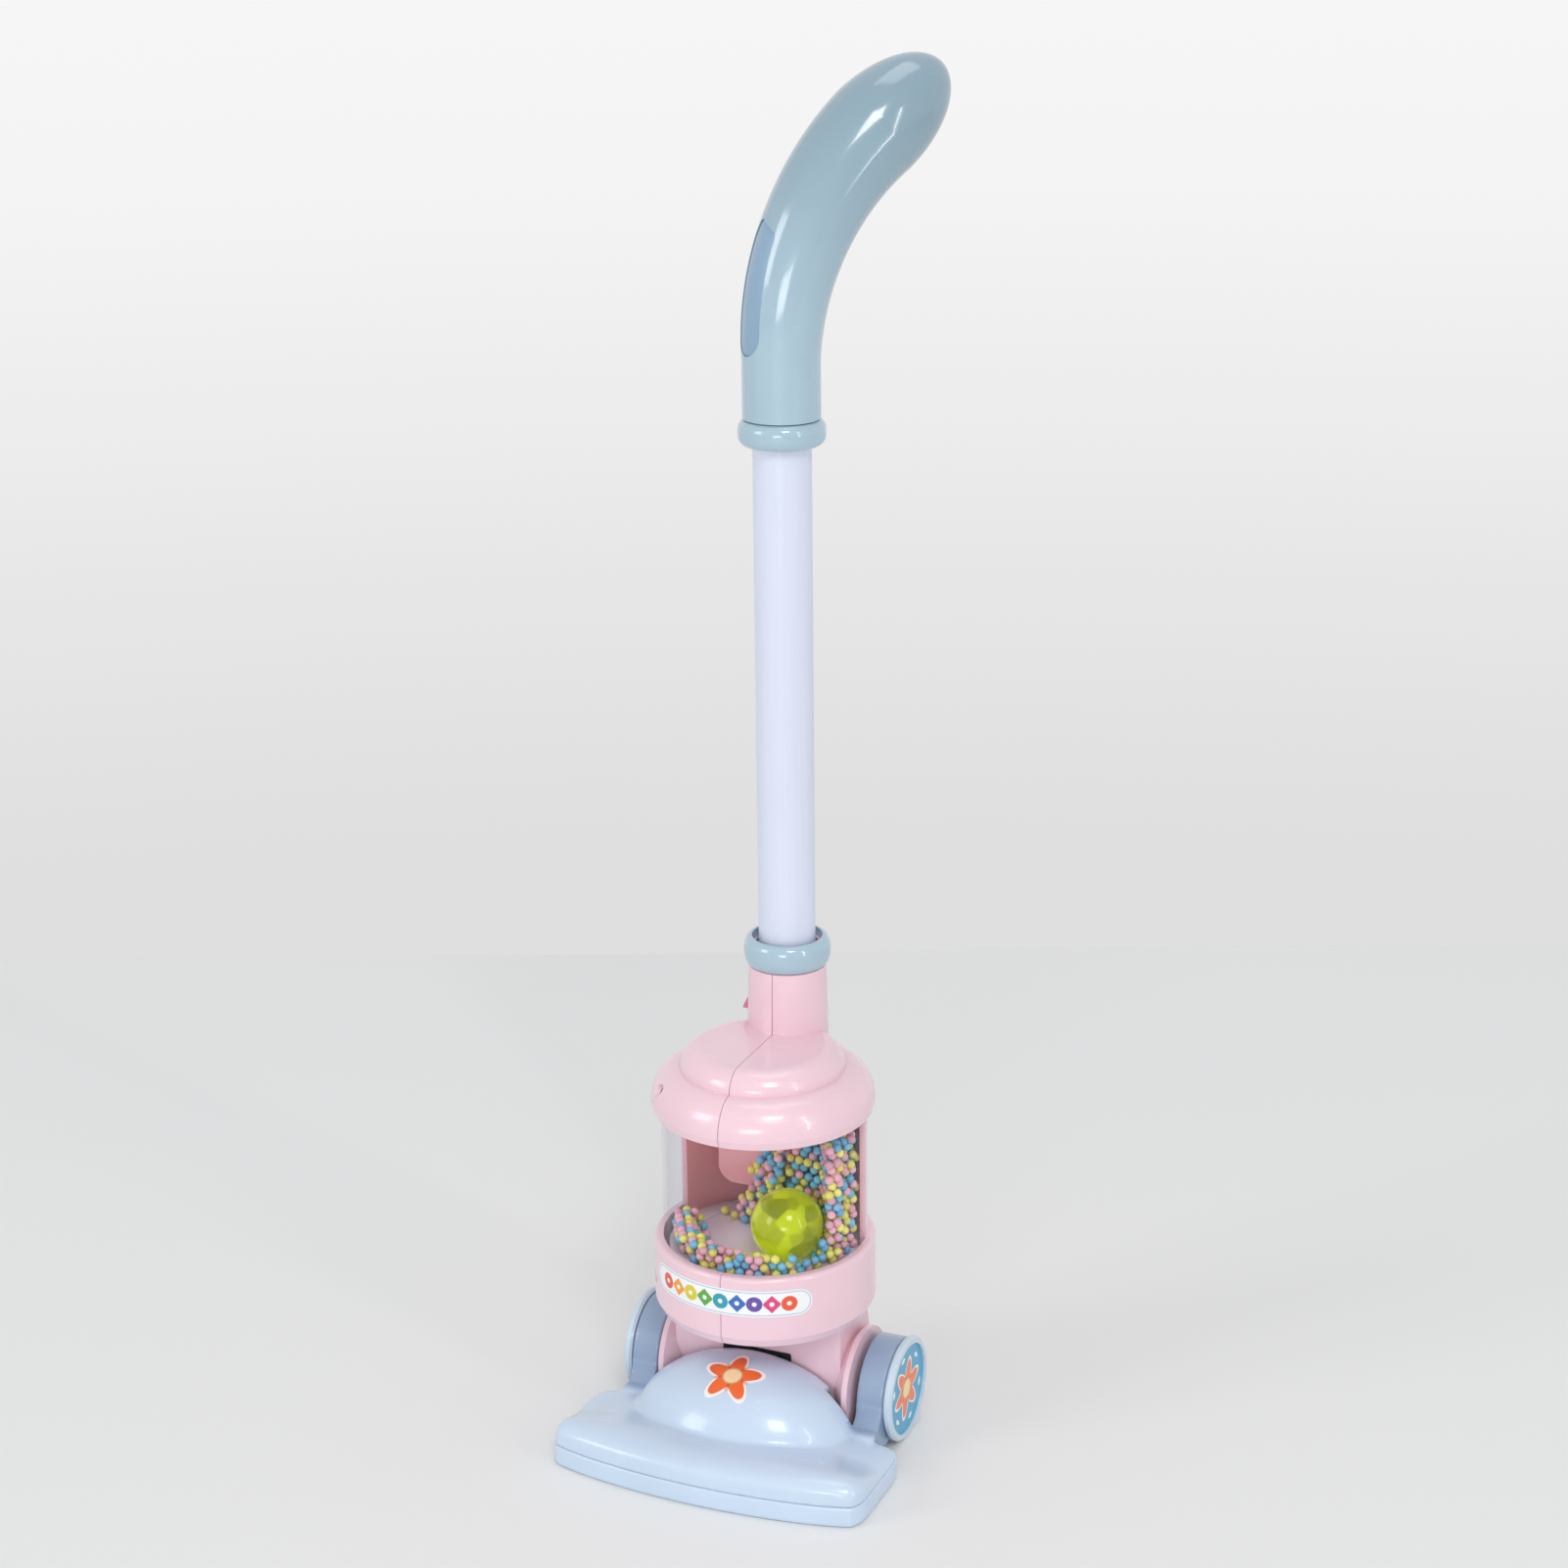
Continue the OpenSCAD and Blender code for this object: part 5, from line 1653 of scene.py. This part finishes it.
@dataclass
class Beads:
    """The heap of loose foam beads, packed in layers around the chamber's axis."""

    bead_r: float = 2.1
    smallest: float = 0.88
    finest: int = 2
    floor_r: float = 42.6
    wall_r: float = 43.2
    box_y: float = 17.5
    disc_r: float = 33.0
    tip_r: float = 6.0
    disc_rise: float = 3.0
    tip_room: float = 4.0
    tip_share: float = 2.0
    bare_turn: float = 143.0
    bare_half: float = 33.0
    bare_blend: float = 8.0
    ring_h: float = 7.5
    ring_r: float = 25.0
    ring_blend: float = 7.0
    foot_x: float = -27.0
    foot_y: float = 15.0
    foot_slope: float = 0.66
    bank_x: float = -28.0
    bank_len: float = 40.0
    bank_blend: float = 11.0
    bank_low: float = 6.0
    bank_rise: float = 62.0
    side_x: float = 22.0
    side_width: float = 10.0
    side_y: float = -26.0
    side_len: float = 22.0
    side_h: float = 46.0
    pitch: float = 2.06
    row_share: float = 0.866
    row_shift: float = 0.58
    layer_share: float = 0.82
    layers: int = 16
    reach: int = 12
    low_layers: int = 2
    jitter: float = 0.28
    lift: float = 0.1
    floor_gap: float = 0.15
    roof_gap: float = 0.4
    wall_gap: float = 0.25
    box_gap: float = 0.2
    ball_gap: float = 0.35
    apart: float = 1.86
    look_back: int = 260
    seed: int = 7

    def height(self, x: Array, y: Array) -> Array:
        """Gives how high the beads lie above the chamber's floor at a place.

        Args:
            x: place across, from the chamber's axis.
            y: place along, from the axis.

        Returns:
            The height.
        """
        turn = np.degrees(np.arctan2(y, x)) % 360
        bare = ramp(np.abs(turn - self.bare_turn), self.bare_half, self.bare_blend)
        ring = self.ring_h * ramp(np.hypot(x, y), self.ring_r, self.ring_blend) * bare
        foot = self.foot_y - (x - self.foot_x) * self.foot_slope
        rise = self.bank_low + self.bank_rise * ramp(x, self.bank_x, self.bank_len)
        bank = ramp(y, foot, self.bank_blend) * rise
        side = ramp(x, self.side_x, self.side_width) * ramp(y, self.side_y, self.side_len) * self.side_h
        return np.maximum.reduce([ring, bank, side])

    def fits(self, x: float, y: float, z: float, wall: float, ball: Array, ball_r: float) -> bool:
        """Tells whether a bead may lie at a place.

        Args:
            x: its middle.
            y: its middle.
            z: its middle.
            wall: radius of the wall around it.
            ball: the middle of the loose ball.
            ball_r: the ball's radius.

        Returns:
            Whether it is in the heap, and clear of the walls and of the ball and the space above that.
        """
        walled = math.hypot(x, y) > wall - self.bead_r - self.wall_gap
        boxed = y > self.box_y - self.bead_r - self.box_gap
        if walled or boxed or z - FLOOR_Z > self.height(np.array(x), np.array(y)) + self.bead_r:
            return False
        near = ball_r + self.bead_r + self.ball_gap
        above = math.hypot(x - ball[0], y - ball[1]) < near and z > ball[2]
        return math.dist((x, y, z), ball) >= near and not above

    def places(self, ball: Array, ball_r: float) -> list[tuple[float, float, float]]:
        """Gives the beads' middles around the chamber's axis.

        Args:
            ball: the middle of the loose ball.
            ball_r: its radius.

        Returns:
            Rows of x, y, z.
        """
        rng = random.Random(self.seed)
        step = self.bead_r * self.pitch
        kept: list[tuple[float, float, float]] = []
        for layer in range(self.layers):
            z = FLOOR_Z + self.bead_r + self.floor_gap + layer * step * self.layer_share
            if z > DOME_Z0 - self.bead_r - self.roof_gap:
                break
            shift = (layer % 2) * 0.5
            wall = self.floor_r if layer < self.low_layers else self.wall_r
            for i in range(-self.reach, self.reach + 1):
                for j in range(-self.reach, self.reach + 1):
                    x = (i + shift + 0.5 * (j % 2)) * step + rng.uniform(-self.jitter, self.jitter)
                    y = (j * self.row_share + shift * self.row_shift) * step
                    y += rng.uniform(-self.jitter, self.jitter)
                    r = math.hypot(x, y)
                    cone = self.disc_rise * max(0.0, min(1.0, (self.disc_r - r) / (self.disc_r - self.tip_r)))
                    here = z + cone * (1.0 if r > self.tip_r + self.tip_room else self.tip_share)
                    if not self.fits(x, y, here, wall, ball, ball_r):
                        continue
                    spot = (x, y, here + rng.uniform(-self.lift, self.lift))
                    near = kept[-self.look_back :]
                    if all(math.dist(spot, other) > self.bead_r * self.apart for other in near):
                        kept.append(spot)
        return kept

    def build(self, paint: "Paint", ball: Array, ball_r: float) -> None:
        """Makes the beads in three colours.

        Args:
            paint: the finishes.
            ball: the middle of the loose ball.
            ball_r: its radius.
        """
        rng = random.Random(self.seed + 1)
        unit, triangles = icosphere(self.finest, 1.0)
        names = ("pink", "blue", "yellow")
        points: dict[str, list[Array]] = {n: [] for n in names}
        for x, y, z in self.places(ball - np.array([0.0, CHAMBER_Y, 0.0]), ball_r):
            name = rng.choice(names)
            size = self.bead_r * rng.uniform(self.smallest, 1.0)
            points[name].append(unit * size + np.array([x, y + CHAMBER_Y, z]))
        for name in names:
            faces = np.concatenate([triangles + k * len(unit) for k in range(len(points[name]))])
            made = piece(f"beads_{name}_heap", np.concatenate(points[name]), faces, Shading.SMOOTH)
            paint.stand_for(made, f"beads_{name}", BODY, f"bead_{name}")


@dataclass
class Chamber:
    """What the body shows beside its shells: neck ring, a dark strip of painted shadow on the yoke, beads,
    ball and the label on the cup.
    """

    ball_r: float = 15.9
    ball_wall: float = 1.9
    ball_split: float = 0.03
    ball_crease: float = 10.0
    ball_fine: int = 5
    ball_facets: int = 2
    label_half: float = 47.5
    label_z: float = 83.45
    label_h: float = 12.5
    label_lifts: Sequence[float] = (0.35, 0.05)
    label_rows: int = 97
    label_cols: int = 13
    label_pitch: float = 7.6
    label_tone: Colour = (0.965, 0.965, 0.965)
    label_line: Colour = (0.62, 0.76, 0.88)
    label_row: Sequence[Colour] = (
        (0.90, 0.30, 0.16),
        (0.95, 0.62, 0.15),
        (0.86, 0.80, 0.16),
        (0.35, 0.66, 0.24),
        (0.13, 0.62, 0.70),
        (0.17, 0.42, 0.74),
        (0.40, 0.30, 0.64),
        (0.88, 0.24, 0.50),
        (0.92, 0.34, 0.20),
    )
    neck_ring_in: float = 15.5
    neck_ring_power: float = 2.3
    # A dark strip on the yoke under the cup: painted shadow of the gap between the cup and the round cover
    shadow_strip_half: float = 16.5
    shadow_strip_h: float = 8.4
    shadow_strip_z: float = 37.2
    shadow_strip_front: float = -15.25
    shadow_strip_back: float = -14.4
    shadow_strip_corner: float = 1.2
    shadow_strip_arc: int = 15

    def ball_centre(self) -> Array:
        """Gives the middle of the ball from its two halves."""
        boxes = np.array([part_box(n) for n in ("ball_top", "ball_bottom")])
        return (boxes[:, 0].min(0) + boxes[:, 1].max(0)) / 2 / MM

    def ball(self, paint: "Paint") -> None:
        """Makes the two halves of the ball, smooth outside and faceted inside.

        Args:
            paint: the finishes.
        """
        centre = self.ball_centre()
        outer, outer_faces = icosphere(self.ball_fine, self.ball_r)
        inner, inner_faces = icosphere(self.ball_facets, self.ball_r - self.ball_wall)
        r = self.ball_r * 1.5
        for name, side in (("top", 1), ("bottom", -1)):
            made = piece(f"ball_{name}_half", outer + centre, outer_faces, Shading.CREASED, self.ball_crease)
            core = piece("ball_core", inner + centre, inner_faces[:, ::-1], Shading.FLAT)
            carve(made, core, "DIFFERENCE", self.ball_crease)
            heights = sorted((side * self.ball_split, side * r))
            box = [(x, y, z) for z in heights for x, y in ((-r, -r), (r, -r), (r, r), (-r, r))]
            split = piece("ball_split", np.array(box) + centre, stack_faces(2, 4))
            carve(made, split, "INTERSECT", self.ball_crease)
            paint.stand_for(made, f"ball_{name}", BALL, "ball_plastic")

    def label(self, paint: "Paint") -> None:
        """Makes the label on the cup, a curved band with round ends.

        Args:
            paint: the finishes.
        """
        rows, cols = self.label_rows, self.label_cols
        half, half_h = math.radians(self.label_half) * BODY_R, self.label_h / 2
        points = []
        for lift in self.label_lifts:
            radius = BODY_R + lift
            for i in range(rows):
                along = half * math.sin(math.pi / 2 * (2 * i / (rows - 1) - 1))
                over = max(0.0, abs(along) - (half - half_h))
                tall = math.sqrt(max(1e-4, half_h**2 - over**2))
                x, y = radius * math.sin(along / BODY_R), CHAMBER_Y - radius * math.cos(along / BODY_R)
                points += [(x, y, self.label_z + tall * (2 * j / (cols - 1) - 1)) for j in range(cols)]
        made = piece("front_band", points, shell_faces(rows, cols))
        band = BandPrint(
            "front_band_print",
            self.label_tone,
            axis_y=CHAMBER_Y * MM,
            radius=BODY_R * MM,
            middle_z=self.label_z * MM,
            half_length=half * MM,
            half_height=half_h * MM,
            row=self.label_row,
            outline=self.label_line,
            pitch=self.label_pitch * MM,
        )
        paint.stand_for(made, "front_label", BODY, "label_white", band.make())

    def neck(self, paint: "Paint") -> None:
        """Makes the bulged ring on the neck."""
        ring = barrel(self.neck_ring_in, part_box("neck_ring"), self.neck_ring_power)
        paint.stand_for(lathe("neck_ring_bulged", ring, TUBE_Y), "neck_ring", BODY, "grip_plastic")

    def slot(self, paint: "Paint") -> None:
        """Makes a dark strip on the yoke under the cup, a painted shadow of the gap between the cup and the
        round cover.

        Args:
            paint: the finishes.
        """
        r = self.shadow_strip_corner
        w, h = self.shadow_strip_half - r, self.shadow_strip_h / 2 - r
        outline = [
            (x + r * math.cos(math.radians(start + a)), z + r * math.sin(math.radians(start + a)))
            for x, z, start in ((w, h, 0), (-w, h, 90), (-w, -h, 180), (w, -h, 270))
            for a in range(0, 91, self.shadow_strip_arc)
        ]
        points = [(x, y, self.shadow_strip_z + z) for y in (self.shadow_strip_front, self.shadow_strip_back) for x, z in outline]
        # The dark plastic here is painted shadow
        slot = piece("yoke_shadow_strip", points, stack_faces(2, len(outline)))
        slot.data.materials.append(paint.made["dark_plastic"])
        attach(slot, BODY)

    def build(self, paint: "Paint") -> None:
        """Builds and dresses the chamber.

        Args:
            paint: the finishes.
        """
        self.neck(paint)
        # A dark strip of painted shadow under the cup
        self.slot(paint)
        Beads().build(paint, self.ball_centre(), self.ball_r)
        self.ball(paint)
        self.label(paint)


class Paint:
    """The finishes by the record's slots, and how pieces get them."""

    NODE_SHARP = 28.0
    FINISHES = (
        # The head's finish carries painted shade on the hoods and arms
        Moulded("head_plastic", (0.78, 0.85, 0.925), roughness=0.26, hood_shade_tone=(0.57, 0.65, 0.755)),
        Moulded("wheel_plastic", (0.78, 0.85, 0.90), roughness=0.28),
        Moulded(
            "pink_plastic",
            (0.935, 0.80, 0.84),
            roughness=0.22,
            coat=0.4,
            depth=0.06,
            # painted warm bounce light inside the chamber
            inner_bounce_tone=(0.97, 0.70, 0.72),
        ),
        Moulded(
            "grip_plastic",
            (0.65, 0.755, 0.81),
            roughness=0.16,
            coat=0.6,
            grain=0.01,
            # painted shade towards the grip's end
            end_shade_tone=(0.52, 0.625, 0.68),
        ),
        Moulded("pad_plastic", (0.53, 0.65, 0.75), roughness=0.3, coat=0.2, grain=0.2),
        Extruded("tube_plastic", (0.865, 0.89, 0.965)),
        Clear("clear_plastic", (0.93, 0.94, 0.95)),
        Moulded("white_plastic", (0.95, 0.93, 0.985), roughness=0.35),
        # The ball's finish carries painted glints and a painted glow
        Tinted("ball_plastic", (0.745, 0.79, 0.0)),
        Foam("bead_pink", (0.97, 0.71, 0.765)),
        Foam("bead_blue", (0.48, 0.77, 0.92)),
        Foam("bead_yellow", (0.96, 0.915, 0.47)),
        Moulded("knob_plastic", (0.84, 0.50, 0.62), roughness=0.26),
        Moulded("dark_plastic", (0.12, 0.12, 0.13), roughness=0.4),
        Metal("steel", (0.78, 0.78, 0.80)),
        Moulded("cell", (0.16, 0.17, 0.20), roughness=0.3),
        Moulded("label_white", (0.96, 0.96, 0.96), roughness=0.3),
        Moulded("label_cyan", (0.20, 0.63, 0.80), roughness=0.3),
    )

    def __init__(self) -> None:
        """Makes every finish and reads which node takes which."""
        self.made = {f.name: f.make() for f in self.FINISHES}
        self.slots = {row["node"]: row["material_slot"] for row in frame["record"]["subparts"]}

    def dress(self, node: str, material: Optional[bpy.types.Material] = None) -> None:
        """Gives a CAD node its finish and smooth shading.

        Args:
            node: the node's name.
            material: a finish of its own instead of its slot's.
        """
        obj = frame["nodes"][node]
        obj.data.materials.clear()
        obj.data.materials.append(material or self.made[self.slots[node]])
        shade(obj.data, Shading.CREASED, self.NODE_SHARP)

    def stand_for(
        self,
        made: bpy.types.Object,
        node: str,
        body: str,
        slot: str,
        material: Optional[bpy.types.Material] = None,
    ) -> None:
        """Puts a new piece in a CAD node's place.

        Args:
            made: the new piece.
            node: the node that it stands for.
            body: the body that it moves with.
            slot: the record's slot of its finish.
            material: a finish of its own instead of the slot's.
        """
        made.data.materials.clear()
        made.data.materials.append(material or self.made[slot])
        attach(made, body)
        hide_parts(node)
        log.info("piece %s for %s: %d faces", made.name, node, len(made.data.polygons))


def main() -> None:
    """Builds the scene."""
    logging.basicConfig(level=logging.INFO, format="%(name)s: %(message)s")
    Studio().build()
    paint = Paint()
    for node in sorted(frame["nodes"]):
        paint.dress(node)
    Grip().build(paint)
    FloorHead().build(paint)
    Wheels().build(paint)
    Chamber().build(paint)


if __name__ == "__main__":
    main()
